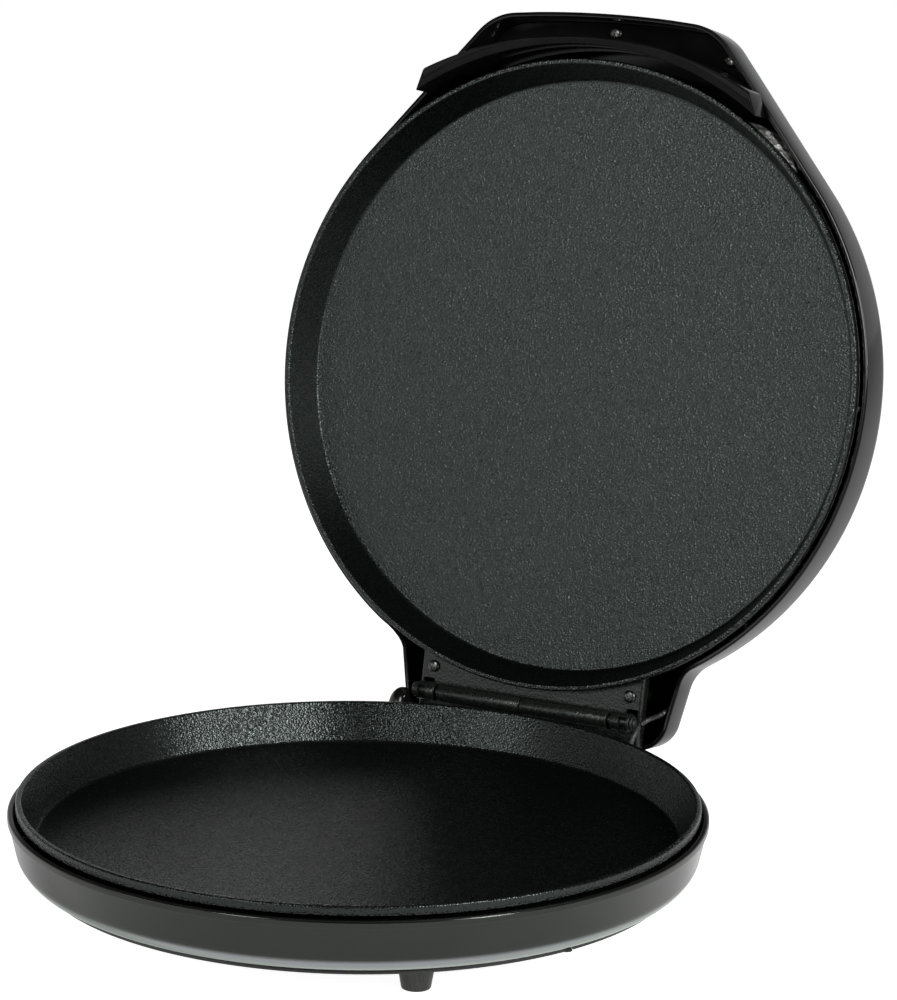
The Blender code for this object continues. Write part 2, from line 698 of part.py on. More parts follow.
def bottom_cover():
    top = cover_top()
    cover = put(extruded("cover", cover_outline(), top - COVER_THICKNESS, top), "bottom_cover",
                black_steel(), "base")
    middle = top - COVER_THICKNESS / 2
    tall = COVER_THICKNESS + 2 * OVERRUN
    for x, y in foot_places():
        hole = rod("foot_hole", FOOT_NECK_RADIUS + GAP, tall)
        boolean(cover, hole, "DIFFERENCE", "base", (x, y, middle))
    for angle in COVER_SCREW_ANGLES_DEG:
        x, y = ring_place(COVER_SCREW_RING, angle)
        place = (x, y, top - COVER_THICKNESS)
        boolean(cover, screw_sink(), "DIFFERENCE", "base", place)
    for row in range(VENT_ROWS):
        place = (0.0, (row - (VENT_ROWS - 1) / 2) * VENT_PITCH, middle)
        boolean(cover, box("vent", (VENT_LENGTH, VENT_WIDTH, tall)), "DIFFERENCE", "base", place)


def screw_sink():
    """The conical hole that lets a cover screw's head lie flush."""
    profile = [
        (0.0, COVER_THICKNESS + OVERRUN),
        (SCREW_HOLE, COVER_THICKNESS + OVERRUN),
        (SCREW_HOLE, COVER_SCREW_SINK),
        (SCREW_HEAD_RADIUS + 2 * GAP, 0.0),
        (SCREW_HEAD_RADIUS + 2 * GAP, -OVERRUN),
        (0.0, -OVERRUN),
    ]
    return turned("screw_sink", profile, TINY_SEGMENTS)


def cover_screws():
    profile = [
        (0.0, COVER_SCREW_LENGTH),
        (SCREW_RADIUS, COVER_SCREW_LENGTH),
        (SCREW_RADIUS, COVER_SCREW_SINK),
        (SCREW_HEAD_RADIUS, 0.0),
        (0.0, 0.0),
    ]
    for number, angle in enumerate(COVER_SCREW_ANGLES_DEG, 1):
        x, y = ring_place(COVER_SCREW_RING, angle)
        place = (x, y, cover_top() - COVER_THICKNESS)
        screw = turned("cover_screw", profile, TINY_SEGMENTS)
        put(screw, "cover_screw_%d" % number, bare_steel(), "base", place)


def screw_mesh(length, head_radius=SCREW_HEAD_RADIUS):
    """A pan head below the seat at height zero and a shank above it."""
    profile = [
        (0.0, length),
        (SCREW_RADIUS, length),
        (SCREW_RADIUS, 0.0),
        (head_radius, 0.0),
        (head_radius, -SCREW_HEAD_HEIGHT / 2),
        (head_radius * SCREW_HEAD_FLAT_SHARE, -SCREW_HEAD_HEIGHT),
        (0.0, -SCREW_HEAD_HEIGHT),
    ]
    return turned("screw", profile, TINY_SEGMENTS)


def foot_places():
    """The four feet stand square to the front, left and right alike."""
    spread = (-FOOT_SPREAD_DEG, FOOT_SPREAD_DEG, 180.0 - FOOT_SPREAD_DEG, 180.0 + FOOT_SPREAD_DEG)
    return [ring_place(FOOT_RING, angle) for angle in spread]


def feet():
    names = ("front_left", "front_right", "rear_right", "rear_left")
    top = cover_top() - COVER_THICKNESS - GAP
    floor = -RIM_HEIGHT
    collar = cover_top() + GAP
    for name, (x, y) in zip(names, foot_places()):
        profile = [
            (0.0, collar + FOOT_HEAD_HEIGHT),
            (FOOT_NECK_RADIUS, collar + FOOT_HEAD_HEIGHT),
            (FOOT_HEAD_RADIUS, collar + FOOT_HEAD_HEIGHT / 3),
            (FOOT_HEAD_RADIUS, collar),
            (FOOT_NECK_RADIUS, collar),
            (FOOT_NECK_RADIUS, top),
            (FOOT_TOP_RADIUS, top),
            (FOOT_BOTTOM_RADIUS, floor + FOOT_SHORT),
            (PAD_RADIUS + GAP, floor + FOOT_SHORT),
            (PAD_RADIUS + GAP, floor + PAD_THICKNESS + GAP),
            (0.0, floor + PAD_THICKNESS + GAP),
        ]
        put(turned("foot", profile), "foot_" + name, gloss_black(), "base", (x, y, 0.0))
        pad = rod("pad", PAD_RADIUS, PAD_THICKNESS)
        put(pad, "foot_pad_" + name, rubber(), "base", (x, y, floor + PAD_THICKNESS / 2))


def element_path(sign, surface):
    """Centre line of a heater: an open ring with two legs that run to the back."""
    level = surface + sign * (GAP + ELEMENT_TUBE)
    gate = ELEMENT_GATE_DEG + math.degrees(ELEMENT_BEND / ELEMENT_RADIUS)
    ring = quarter((0.0, 0.0), ELEMENT_RADIUS, 90.0 + gate, 450.0 - gate, ELEMENT_STEPS)
    straight, curve, lean, spread = [ELEMENT_BEND * share for share in ELEMENT_BEND_SHARES]
    left = [(-LEG_SPREAD, ELEMENT_LEG_END), (-LEG_SPREAD, ELEMENT_RADIUS + straight),
            (-LEG_SPREAD - lean, ELEMENT_RADIUS + curve), (-LEG_SPREAD - spread, ELEMENT_RADIUS)]
    right = [(-x, y) for x, y in reversed(left)]
    return [(x, y, level) for x, y in left + ring + right]


def tube(name, path, radius, look, body, sides=2):
    """A round bar along hand-chosen or computed points, with filled ends."""
    curve = bpy.data.curves.new(name, "CURVE")
    curve.dimensions = "3D"
    curve.bevel_depth = radius
    curve.bevel_resolution = sides
    curve.use_fill_caps = True
    spline = curve.splines.new("POLY")
    spline.points.add(len(path) - 1)
    for point, place in zip(spline.points, path):
        point.co = (*place, 1.0)
    return put(curve, name, look, body)


def strap_mesh():
    """A hat-shaped strap that spans the heater tube, seated at height zero."""
    inner = ELEMENT_TUBE + STRAP_ROOM
    outer = inner + STRAP_THICKNESS
    top = 2 * ELEMENT_TUBE + GAP
    reach = outer + STRAP_FOOT
    shoulder = inner * STRAP_SHOULDER_SHARE
    outline = [
        (-reach, 0.0), (-inner, 0.0), (-inner, top - shoulder), (-shoulder, top),
        (shoulder, top), (inner, top - shoulder), (inner, 0.0), (reach, 0.0),
        (reach, STRAP_THICKNESS), (outer, STRAP_THICKNESS), (outer, top - shoulder + STRAP_THICKNESS / 2),
        (shoulder, top + STRAP_THICKNESS), (-shoulder, top + STRAP_THICKNESS),
        (-outer, top - shoulder + STRAP_THICKNESS / 2), (-outer, STRAP_THICKNESS),
        (-reach, STRAP_THICKNESS),
    ]
    return extruded("strap", outline, -STRAP_WIDTH / 2, STRAP_WIDTH / 2, "xzy")


def heater_parts(prefix, body, sign, surface):
    """Heater, straps, shield, thermostat and fuse of one half; sign points away from the food."""
    tube(prefix + "_heating_element", element_path(sign, surface), ELEMENT_TUBE, bare_steel(), body)
    flip = 0.0 if sign > 0 else math.pi
    for number, angle in enumerate(STRAP_ANGLES_DEG, 1):
        x, y = ring_place(ELEMENT_RADIUS, angle)
        turn = (flip, 0.0, math.radians(angle - 90.0))
        put(strap_mesh(), "%s_element_strap_%d" % (prefix, number), bare_steel(), body,
            (x, y, surface + sign * GAP), turn)
    seat = surface + sign * (BOSS_LENGTH + GAP)
    shield = [
        (SCREW_HOLE, 0.0), (BOSS_RADIUS, 0.0),
        (SHIELD_RADIUS - SHIELD_DISH, SHIELD_CURL / 2), (SHIELD_RADIUS, -SHIELD_CURL),
        (SHIELD_RADIUS, -SHIELD_CURL + SHIELD_THICKNESS),
        (SHIELD_RADIUS - SHIELD_DISH, SHIELD_CURL / 2 + SHIELD_THICKNESS),
        (BOSS_RADIUS, SHIELD_THICKNESS), (SCREW_HOLE, SHIELD_THICKNESS),
    ]
    placed = [(radius, seat + sign * height) for radius, height in shield]
    put(turned("shield", placed, MIDDLE_SEGMENTS), prefix + "_heat_shield", aluminised_sheet(), body)
    screw_seat = seat + sign * (SHIELD_THICKNESS + GAP)
    screw = screw_mesh(SHIELD_THICKNESS + BOSS_BORE_DEPTH - GAP, SHIELD_SCREW_HEAD)
    put(screw, prefix + "_shield_screw", bare_steel(), body, (0.0, 0.0, screw_seat),
        (math.pi if sign > 0 else 0.0, 0.0, 0.0))
    thermostat(prefix, body, sign, surface)
    fuse_level = surface + sign * (GAP + FUSE_RADIUS)
    put(rod("fuse", FUSE_RADIUS, FUSE_LENGTH, TINY_SEGMENTS), prefix + "_thermal_fuse", ceramic(), body,
        (*FUSE_PLACE, fuse_level), (math.pi / 2, 0.0, 0.0))


def thermostat(prefix, body, sign, surface):
    """A snap-disc thermostat: a flanged cap on the plate with its body behind."""
    height = THERMOSTAT_HEIGHT
    brim, shoulder, crown = THERMOSTAT_SHARES
    profile = [
        (0.0, 0.0), (THERMOSTAT_FLANGE, 0.0), (THERMOSTAT_FLANGE, height * brim),
        (THERMOSTAT_RADIUS, height * brim), (THERMOSTAT_RADIUS, height * shoulder),
        (THERMOSTAT_RADIUS * crown, height), (0.0, height),
    ]
    start = surface + sign * GAP
    placed = [(radius, start + sign * level) for radius, level in profile]
    put(turned("thermostat", placed), prefix + "_thermostat", black_steel(), body,
        (*THERMOSTAT_PLACE, 0.0))


def terminal_block():
    """Ceramic block on the cover behind the heater's legs."""
    place = (0.0, BLOCK_PLACE_Y, cover_top() + GAP + BLOCK_SIZE[2] / 2)
    block = put(box("block", BLOCK_SIZE), "terminal_block", ceramic(), "base", place)
    bevel = block.modifiers.new("edge", "BEVEL")
    bevel.width = BLOCK_EDGE
    bevel.segments = 1
    for side in (-1, 1):
        hole = rod("block_hole", SCREW_HOLE, BLOCK_SIZE[2] + OVERRUN, TINY_SEGMENTS)
        boolean(block, hole, "DIFFERENCE", "base", (side * LEG_SPREAD, place[1], place[2]))


def base_hinge_bracket():
    """Bracket on the shelf whose barrel is the base's long knuckle."""
    front = HINGE_REACH - BARREL_RADIUS + BITE
    shelf = -SHELF_DROP + GAP
    ledge_low = -LIP_DROP + GAP
    ledge_high = ledge_low + BRACKET_LEDGE_HEIGHT
    outline = [
        (front - BRACKET_LEDGE, ledge_low), (front, ledge_low), (front, shelf),
        (HINGE_REACH + BRACKET_REACH, shelf), (HINGE_REACH + BRACKET_REACH, shelf + BRACKET_FOOT),
        (front + WEB_THICKNESS, shelf + BRACKET_FOOT), (front + WEB_THICKNESS, HINGE_RISE - BITE),
        (front + WEB_THICKNESS / 3, HINGE_RISE - BITE), (front + WEB_THICKNESS / 3, ledge_high),
        (front - BRACKET_LEDGE, ledge_high),
    ]
    bracket = put(extruded("bracket", outline, -KNUCKLE_END + BITE, -KNUCKLE_SPLIT - BITE, "yzx"),
                  "base_hinge_bracket", nonstick(), "base")
    length = KNUCKLE_END - KNUCKLE_SPLIT
    middle = -(KNUCKLE_END + KNUCKLE_SPLIT) / 2
    axis = (middle, HINGE_REACH, HINGE_RISE)
    boolean(bracket, rod("barrel", BARREL_RADIUS, length), "UNION", "base", axis, along_x())
    bore = rod("bore", PIN_RADIUS + GAP, length + 2 * OVERRUN)
    boolean(bracket, bore, "DIFFERENCE", "base", axis, along_x())
    for x, y in bracket_screw_places():
        hole = rod("bracket_hole", SCREW_HOLE, 2 * BRACKET_FOOT + OVERRUN, TINY_SEGMENTS)
        boolean(bracket, hole, "DIFFERENCE", "base", (x, y, shelf + BRACKET_FOOT / 2),
                solver="MANIFOLD")


def bracket_screws():
    seat = -SHELF_DROP - HOUSING_WALL - GAP
    for number, (x, y) in enumerate(bracket_screw_places(), 1):
        put(screw_mesh(HOUSING_WALL + BRACKET_FOOT), "hinge_bracket_screw_%d" % number, bare_steel(),
            "base", (x, y, seat))


def hinge_pin():
    """One long pin with a head on the left and a retaining clip on the right."""
    right = LUG_OUTER + CLIP_THICKNESS + PIN_TAIL
    left = -LUG_OUTER - GAP
    tip, chamfer = [PIN_RADIUS * share for share in PIN_CHAMFER_SHARES]
    wall, crown = PIN_HEAD_SHARES
    profile = [
        (0.0, right), (tip, right), (PIN_RADIUS, right - chamfer), (PIN_RADIUS, left),
        (PIN_HEAD_RADIUS, left), (PIN_HEAD_RADIUS, left - PIN_HEAD_LENGTH * wall),
        (PIN_HEAD_RADIUS * crown, left - PIN_HEAD_LENGTH), (0.0, left - PIN_HEAD_LENGTH),
    ]
    axis = (0.0, HINGE_REACH, HINGE_RISE)
    put(turned("pin", profile), "hinge_pin", black_steel(), "base", axis, along_x())
    start = LUG_OUTER + GAP
    clip = [
        (PIN_RADIUS + GAP, start + CLIP_THICKNESS), (CLIP_RADIUS, start + CLIP_THICKNESS),
        (CLIP_RADIUS, start), (PIN_RADIUS + GAP, start),
    ]
    put(turned("clip", clip), "hinge_pin_clip", black_steel(), "base", axis, along_x())


def lid_hinge_plate():
    """Channel-section plate with the lid's long knuckle and two windowed end lugs."""
    face = HINGE_RISE + BARREL_RADIUS + CHANNEL_LIFT
    inner = CHANNEL_HALF - CHANNEL_THICKNESS
    section = [
        (-CHANNEL_HALF, face), (CHANNEL_HALF, face), (CHANNEL_HALF, face + CHANNEL_DEPTH),
        (inner, face + CHANNEL_DEPTH), (inner, face + CHANNEL_THICKNESS),
        (-inner, face + CHANNEL_THICKNESS), (-inner, face + CHANNEL_DEPTH),
        (-CHANNEL_HALF, face + CHANNEL_DEPTH),
    ]
    plate = put(extruded("channel", section, CHANNEL_FRONT, CHANNEL_REAR, "xzy"), "lid_hinge_plate",
                nonstick(), "lid")
    clear = plate_outer_radius(face - RIM_CLEARANCE) + CHANNEL_PLATE_GAP
    boolean(plate, rod("plate_clear", clear, 4 * CHANNEL_DEPTH, BIG_SEGMENTS), "DIFFERENCE", "lid",
            (0.0, 0.0, face + CHANNEL_DEPTH))
    start = -KNUCKLE_SPLIT + KNUCKLE_GAP
    knuckles = [(start, KNUCKLE_END, KNUCKLE_END - start - 2 * BITE)]
    knuckles.append((LUG_INNER, LUG_OUTER, LUG_WEB))
    knuckles.append((-LUG_OUTER, -LUG_INNER, LUG_WEB))
    for low, high, web in knuckles:
        add_knuckle(plate, face, low, high, web)
    for side in (-1, 1):
        cut_lug_window(plate, face, side)
    reach = 2 * (LUG_OUTER + OVERRUN)
    boolean(plate, rod("lid_bore", PIN_RADIUS + GAP, reach), "DIFFERENCE", "lid",
            (0.0, HINGE_REACH, HINGE_RISE), along_x())
    for side in (-1, 1):
        hole = rod("lid_screw_hole", SCREW_HOLE, 4 * CHANNEL_THICKNESS, TINY_SEGMENTS)
        boolean(plate, hole, "DIFFERENCE", "lid", (side * LID_SCREW_PLACE[0], LID_SCREW_PLACE[1], face),
                solver="MANIFOLD")


def add_knuckle(plate, face, low, high, web):
    """One barrel on the hinge axis, joined to the plate by a web at its inboard end."""
    middle = (low + high) / 2
    barrel = rod("knuckle", BARREL_RADIUS, high - low)
    boolean(plate, barrel, "UNION", "lid", (middle, HINGE_REACH, HINGE_RISE), along_x())
    height = face + CHANNEL_THICKNESS / 2 - HINGE_RISE - PIN_RADIUS
    web_box = box("web", (web, WEB_THICKNESS, height))
    inboard = low + BITE + web / 2 if middle > 0 else high - BITE - web / 2
    level = HINGE_RISE + PIN_RADIUS + height / 2
    boolean(plate, web_box, "UNION", "lid", (inboard, HINGE_REACH - WEB_THICKNESS / 4, level))


def cut_lug_window(plate, face, side):
    """Opening in the plate beside a lug, and the lug's own window that shows the pin."""
    inner = LUG_INNER + LUG_WEB + 2 * BITE
    outer = LUG_OUTER + WINDOW_OUTER
    opening = box("opening", (outer - inner, WINDOW_FRONT + WINDOW_REAR, 4 * CHANNEL_THICKNESS))
    middle_y = HINGE_REACH + (WINDOW_REAR - WINDOW_FRONT) / 2
    above = face + 2 * CHANNEL_THICKNESS - CHANNEL_LIFT / 2
    boolean(plate, opening, "DIFFERENCE", "lid", (side * (outer + inner) / 2, middle_y, above))
    window = box("window", (LUG_WINDOW, BARREL_RADIUS * WINDOW_HEIGHT_SHARE, 2 * BARREL_RADIUS))
    level = HINGE_RISE - BARREL_RADIUS - PIN_RADIUS * WINDOW_RISE_SHARE
    place = (side * (inner + LUG_WINDOW / 2 + BITE), HINGE_REACH, level)
    boolean(plate, window, "DIFFERENCE", "lid", place)


def lid_hinge_screws():
    face = HINGE_RISE + BARREL_RADIUS + CHANNEL_LIFT
    length = CHANNEL_THICKNESS + LID_BOSS_RADIUS * 2
    for name, side in (("left", -1), ("right", 1)):
        place = (side * LID_SCREW_PLACE[0], LID_SCREW_PLACE[1], face - GAP)
        put(screw_mesh(length, LID_SCREW_HEAD), "lid_hinge_screw_" + name, bare_steel(), "lid", place)


def tangent_corner(before, corner, after, radius, steps):
    """An arc of the given radius that rounds a corner of a path."""
    corner = Vector(corner)
    back = (Vector(before) - corner).normalized()
    ahead = (Vector(after) - corner).normalized()
    half = back.angle(ahead) / 2
    middle = (back + ahead).normalized()
    centre = corner + middle * radius / math.sin(half)
    start = corner + back * radius / math.tan(half) - centre
    end = corner + ahead * radius / math.tan(half) - centre
    sweep = start.angle_signed(end)
    points = []
    for index in range(steps + 1):
        turn = -sweep * index / steps
        x = start.x * math.cos(turn) - start.y * math.sin(turn)
        y = start.x * math.sin(turn) + start.y * math.cos(turn)
        points.append((centre.x + x, centre.y + y))
    return points


def visor_corner():
    """Where the visor's bowed front and its flank meet, before the corner is rounded."""
    tangent = math.radians(VISOR_TANGENT_DEG)
    touch = ring_place(LID_RADIUS, VISOR_TANGENT_DEG)
    run = (VISOR_REACH + touch[1]) / math.sin(tangent)
    x = touch[0] - run * math.cos(tangent)
    return x, -VISOR_REACH + x ** 2 / (2 * VISOR_BOW)


def lid_half_outline():
    """Right half of the lid's plan, from the visor's middle round to the tail's middle."""
    vertex = visor_corner()
    touch = ring_place(LID_RADIUS, VISOR_TANGENT_DEG)
    front = []
    for index in range(VISOR_STEPS):
        x = (vertex[0] - VISOR_CORNER * VISOR_STRAIGHT_SHARE) * index / VISOR_STEPS
        front.append((x, -VISOR_REACH + x ** 2 / (2 * VISOR_BOW)))
    corner = tangent_corner(front[-1], vertex, touch, VISOR_CORNER, 5)
    slope = (TAIL_HALF_FRONT - TAIL_HALF_REAR) / (TAIL_REACH - TAIL_RAMP[1])
    fillet_x = TAIL_HALF_FRONT + TAIL_FILLET
    fillet_y = math.sqrt((LID_RADIUS + TAIL_FILLET) ** 2 - fillet_x ** 2)
    leave = math.degrees(math.atan2(fillet_x, -fillet_y))
    arc_steps = round(BIG_SEGMENTS * (leave - VISOR_TANGENT_DEG) / 360.0)
    arc = []
    for index in range(arc_steps + 1):
        turn = VISOR_TANGENT_DEG + (leave - VISOR_TANGENT_DEG) * index / arc_steps
        arc.append(ring_place(LID_RADIUS, turn))
    inward = math.degrees(math.atan2(-fillet_y, -fillet_x))
    settle = -180.0 + math.degrees(math.atan(slope))
    fillet = quarter((fillet_x, fillet_y), TAIL_FILLET, inward, settle, 4)[1:]
    rear = (TAIL_HALF_REAR, TAIL_REACH)
    tail = tangent_corner(fillet[-1], rear, (0.0, TAIL_REACH), TAIL_CORNER, 5)
    return front + corner + arc + fillet + tail


def lid_outline():
    """The whole plan as (point, outward normal) pairs, anticlockwise from the front."""
    right = lid_half_outline()
    left = [(-x, y) for x, y in reversed(right) if x > WELD]
    points = [Vector(point) for point in right + left]
    count = len(points)
    pairs = []
    for index, point in enumerate(points):
        run = (points[(index + 1) % count] - points[index - 1]).normalized()
        pairs.append((point, Vector((run.y, -run.x))))
    return pairs


def rim_level(y):
    """The shell's rim steps up in the tail, where it clears the base's hinge."""
    start, end = TAIL_RAMP
    share = min(max((y - start) / (end - start), 0.0), 1.0)
    return LID_RIM + (TAIL_RIM - LID_RIM) * share * share * (3.0 - 2.0 * share)


def shell_ring(outline, inset, level):
    return [(*(point - normal * inset), level) for point, normal in outline]


def rim_ring(outline, inset, lift):
    """A ring that follows the stepped rim."""
    ring = []
    for point, normal in outline:
        place = point - normal * inset
        ring.append((place.x, place.y, rim_level(point.y) + lift))
    return ring


def shoulder_rings(outline, inset, radius, steps):
    """Rings of the rounded edge between the side wall and the top."""
    rings = []
    for across, level in quarter((0.0, 0.0), radius, 0.0, 90.0, steps):
        rings.append(shell_ring(outline, inset + radius - across, LID_SHOULDER + level))
    return rings


def crown_rings(ring, rise):
    """Rings that swell the top gently towards its middle."""
    rings = []
    for share, lift in zip(CROWN_RING_SHARES, CROWN_RISE_SHARES):
        rings.append([(x * share, y * share, z + rise * lift) for x, y, z in ring])
    return rings


def lid_shell():
    """The moulded lid: side walls, rounded shoulder and crown, hollow from below."""
    outline = lid_outline()
    outer = [rim_ring(outline, 0.0, 0.0)]
    outer += shoulder_rings(outline, LID_DRAFT, LID_ROUND, 4)
    outer += crown_rings(outer[-1], LID_CROWN)
    inner = [rim_ring(outline, LID_WALL, 0.0)]
    inner += shoulder_rings(outline, LID_DRAFT + LID_WALL, LID_ROUND - LID_WALL, 2)
    inner += crown_rings(inner[-1], LID_CROWN)[1:]
    shell = put(lofted("lid", list(reversed(outer)) + inner), "lid_shell", gloss_black(), "lid")
    face = HINGE_RISE + BARREL_RADIUS + CHANNEL_LIFT + CHANNEL_THICKNESS + GAP
    for side in (-1, 1):
        add_post(shell, (side * LID_SCREW_PLACE[0], LID_SCREW_PLACE[1]), LID_BOSS_RADIUS, face)
    for place in grip_screw_places():
        add_post(shell, place, GRIP_BOSS_RADIUS, GRIP_TOP + GAP)
    for angle in LID_RIB_ANGLES_DEG:
        rib = extruded("lid_rib", lid_rib_profile(), -RIB_THICKNESS / 2, RIB_THICKNESS / 2, "xzy")
        boolean(shell, rib, "UNION", "lid", rotation=(0.0, 0.0, math.radians(angle - 90.0)))
    for x, y in lamp_places():
        hole = rod("lamp_hole", LAMP_STEM + GAP, 4 * LID_WALL)
        boolean(shell, hole, "DIFFERENCE", "lid", (x, y, lamp_level(y)))


def lamp_places():
    """The two lamps stand side by side behind the visor."""
    return [(side * LAMP_SPREAD, LAMP_SETBACK - VISOR_REACH) for side in (-1, 1)]


def grip_screw_places():
    """The grip's three screws, from left to right; the outer two stand behind the corners."""
    x, y = visor_corner()
    corner_deg = math.degrees(math.atan2(x, -y))
    left = ring_place(GRIP_SCREW_RING, -corner_deg - GRIP_SCREW_BEYOND_DEG)
    middle = (0.0, GRIP_SCREW_SETBACK - VISOR_REACH)
    return [left, middle, (-left[0], left[1])]


def lamp_level(y):
    """Height of the lid's outer face where the lamps stand."""
    edge = VISOR_REACH - LID_DRAFT - LID_ROUND
    share = (edge + y) / (edge * (1.0 - CROWN_RING_SHARES[0]))
    return LID_SHOULDER + LID_ROUND + LID_CROWN * CROWN_RISE_SHARES[0] * share


def ceiling_level(place, outline):
    """Height of the middle of the shell's wall over a place, rounded edge included."""
    nearest = math.inf
    for index, (point, _) in enumerate(outline):
        run = point - outline[index - 1][0]
        share = (place - outline[index - 1][0]).dot(run) / run.length_squared
        foot = outline[index - 1][0] + run * min(max(share, 0.0), 1.0)
        nearest = min(nearest, (place - foot).length)
    radius = LID_ROUND - LID_WALL / 2
    short = max(radius + LID_DRAFT + LID_WALL / 2 - nearest, 0.0)
    return LID_SHOULDER + math.sqrt(max(radius ** 2 - short ** 2, 0.0))


def add_post(shell, place, radius, low):
    """A screw post with a blind bore that stands down from the lid's ceiling."""
    bore = SCREW_RADIUS + GAP
    end = low + 3 * radius
    high = LID_SHOULDER + LID_ROUND
    profile = [(0.0, high), (radius, high), (radius, low), (bore, low), (bore, end), (0.0, end)]
    post = turned("post", profile)
    outline = lid_outline()
    for vertex in post.vertices:
        if vertex.co.z > high - WELD:
            vertex.co.z = ceiling_level(Vector(place) + vertex.co.xy, outline)
    boolean(shell, post, "UNION", "lid", (*place, 0.0), solver="MANIFOLD")


def lid_rib_profile():
    """Section of a rib that locates the upper plate inside the shell."""
    low = LID_RIM + GAP * 5
    buried = LID_WALL / 2
    floor_seat = RIM_CLEARANCE + PLATE_DEPTH + UPPER_FLOOR + GAP
    inner = plate_outer_radius(PLATE_DEPTH)
    centre = (LID_RADIUS - LID_DRAFT - LID_ROUND, LID_SHOULDER)
    profile = [
        (LID_RADIUS - buried, low),
        (plate_outer_radius(low - RIM_CLEARANCE) + GAP, low),
        (inner + GAP, RIM_CLEARANCE + PLATE_DEPTH),
        (inner, floor_seat),
        (inner - RIB_LEDGE, floor_seat),
        (inner - RIB_LEDGE, LID_SHOULDER + LID_ROUND - buried),
    ]
    profile += quarter(centre, LID_ROUND - buried, 90.0, 0.0, 3)
    return profile


def grip_outer(angle_deg):
    """Radius of the grip's outer face, which bows forward of the plate."""
    along = GRIP_BOW_CENTRE * math.cos(math.radians(angle_deg))
    return math.sqrt(along ** 2 - GRIP_BOW_CENTRE ** 2 + GRIP_BOW_RADIUS ** 2) - along


def grip_bar(name, inner_end, outer_end, low_inner, low_outer, high):
    """A curved bar between two radii, with slanted ends."""
    rings = []
    for index in range(GRIP_STEPS + 1):
        share = 2.0 * index / GRIP_STEPS - 1.0
        x_in, y_in = ring_place(GRIP_INNER, inner_end * share)
        x_out, y_out = ring_place(grip_outer(outer_end * share), outer_end * share)
        rings.append([(x_in, y_in, low_inner), (x_out, y_out, low_outer), (x_out, y_out, high),
                      (x_in, y_in, high)])
    return lofted(name, rings)


def flange_front():
    """The inside of the visor's wall from left to right, cut off at the flange's ends."""
    inset = LID_WALL + LID_DRAFT + GAP
    wall = [point - normal * inset for point, normal in lid_outline()]
    half = LID_RADIUS * GRIP_FLANGE_SHARE
    front = []
    for start, end in zip(wall, wall[1:] + wall[:1]):
        if start.y > 0.0:
            continue
        inside = abs(start.x) < half
        if inside:
            front.append(tuple(start))
        if inside != (abs(end.x) < half):
            share = (half - abs(start.x)) / (abs(end.x) - abs(start.x))
            front.append(tuple(start.lerp(end, share)))
    front.sort()
    return front


def handle_grip():
    """Skirt, tongue and screw flange of the grip, in one moulding."""
    skirt = grip_bar("skirt", GRIP_END_INNER_DEG, GRIP_END_OUTER_DEG, -GRIP_DROP_INNER,
                     -GRIP_DROP_OUTER, GRIP_SEAT)
    grip = put(skirt, "handle_grip", gloss_black(), "lid")
    low = GRIP_SEAT - BITE
    tongue = grip_bar("tongue", GRIP_TONGUE_DEG, GRIP_TONGUE_DEG, low, low, GRIP_TOP)
    boolean(grip, tongue, "UNION", "lid")
    back = []
    for index in range(9):
        angle = GRIP_TONGUE_DEG * GRIP_FLANGE_BACK_SHARE * (1.0 - index / 4.0)
        back.append(ring_place(GRIP_INNER + BITE, angle))
    flange = extruded("flange", flange_front() + back, GRIP_TOP - GRIP_FLANGE, GRIP_TOP - BITE)
    boolean(grip, flange, "UNION", "lid")
    for place in grip_screw_places():
        hole = rod("grip_hole", SCREW_HOLE, 4 * GRIP_FLANGE, TINY_SEGMENTS)
        boolean(grip, hole, "DIFFERENCE", "lid", (*place, GRIP_TOP))


def grip_screws():
    for name, place in zip(("left", "middle", "right"), grip_screw_places()):
        seat = GRIP_TOP - GRIP_FLANGE - GAP
        put(screw_mesh(GRIP_FLANGE + GRIP_BOSS_RADIUS * 2), "grip_screw_" + name, bare_steel(), "lid",
            (*place, seat))


def insulation_foil():
    """Foil-faced insulating band round the upper plate's wall, open at the hinge."""
    low = RIM_CLEARANCE + PLATE_BAND_HEIGHT + GAP
    high = LID_RIM + GAP * 4
    inner = plate_outer_radius(PLATE_BAND_HEIGHT) + FOIL_STANDOFF
    outer = inner + FOIL_THICKNESS
    rings = []
    for index in range(FOIL_STEPS + 1):
        angle = FOIL_END_DEG * (2.0 * index / FOIL_STEPS - 1.0)
        near = ring_place(inner, angle)
        far = ring_place(outer, angle)
        rings.append([(*near, low), (*far, low), (*far, high), (*near, high)])
    put(lofted("foil", rings), "insulation_foil", aluminised_sheet(), "lid")


def lamps():
    """Two indicator lenses through the lid's top."""
    inner, crest, brim = LAMP_DOME_SHARES
    looks = (red_lens(), green_lens())
    for name, look, (x, y) in zip(("power_lamp", "ready_lamp"), looks, lamp_places()):
        seat = lamp_level(y) + LAMP_SEAT
        profile = [
            (0.0, LAMP_DOME), (LAMP_RADIUS * inner, LAMP_DOME * crest), (LAMP_RADIUS, LAMP_DOME * brim),
            (LAMP_RADIUS, 0.0), (LAMP_STEM, 0.0), (LAMP_STEM, -LAMP_STEM_LENGTH),
            (0.0, -LAMP_STEM_LENGTH),
        ]
        put(turned("lamp", profile), name, look, "lid", (x, y, seat))


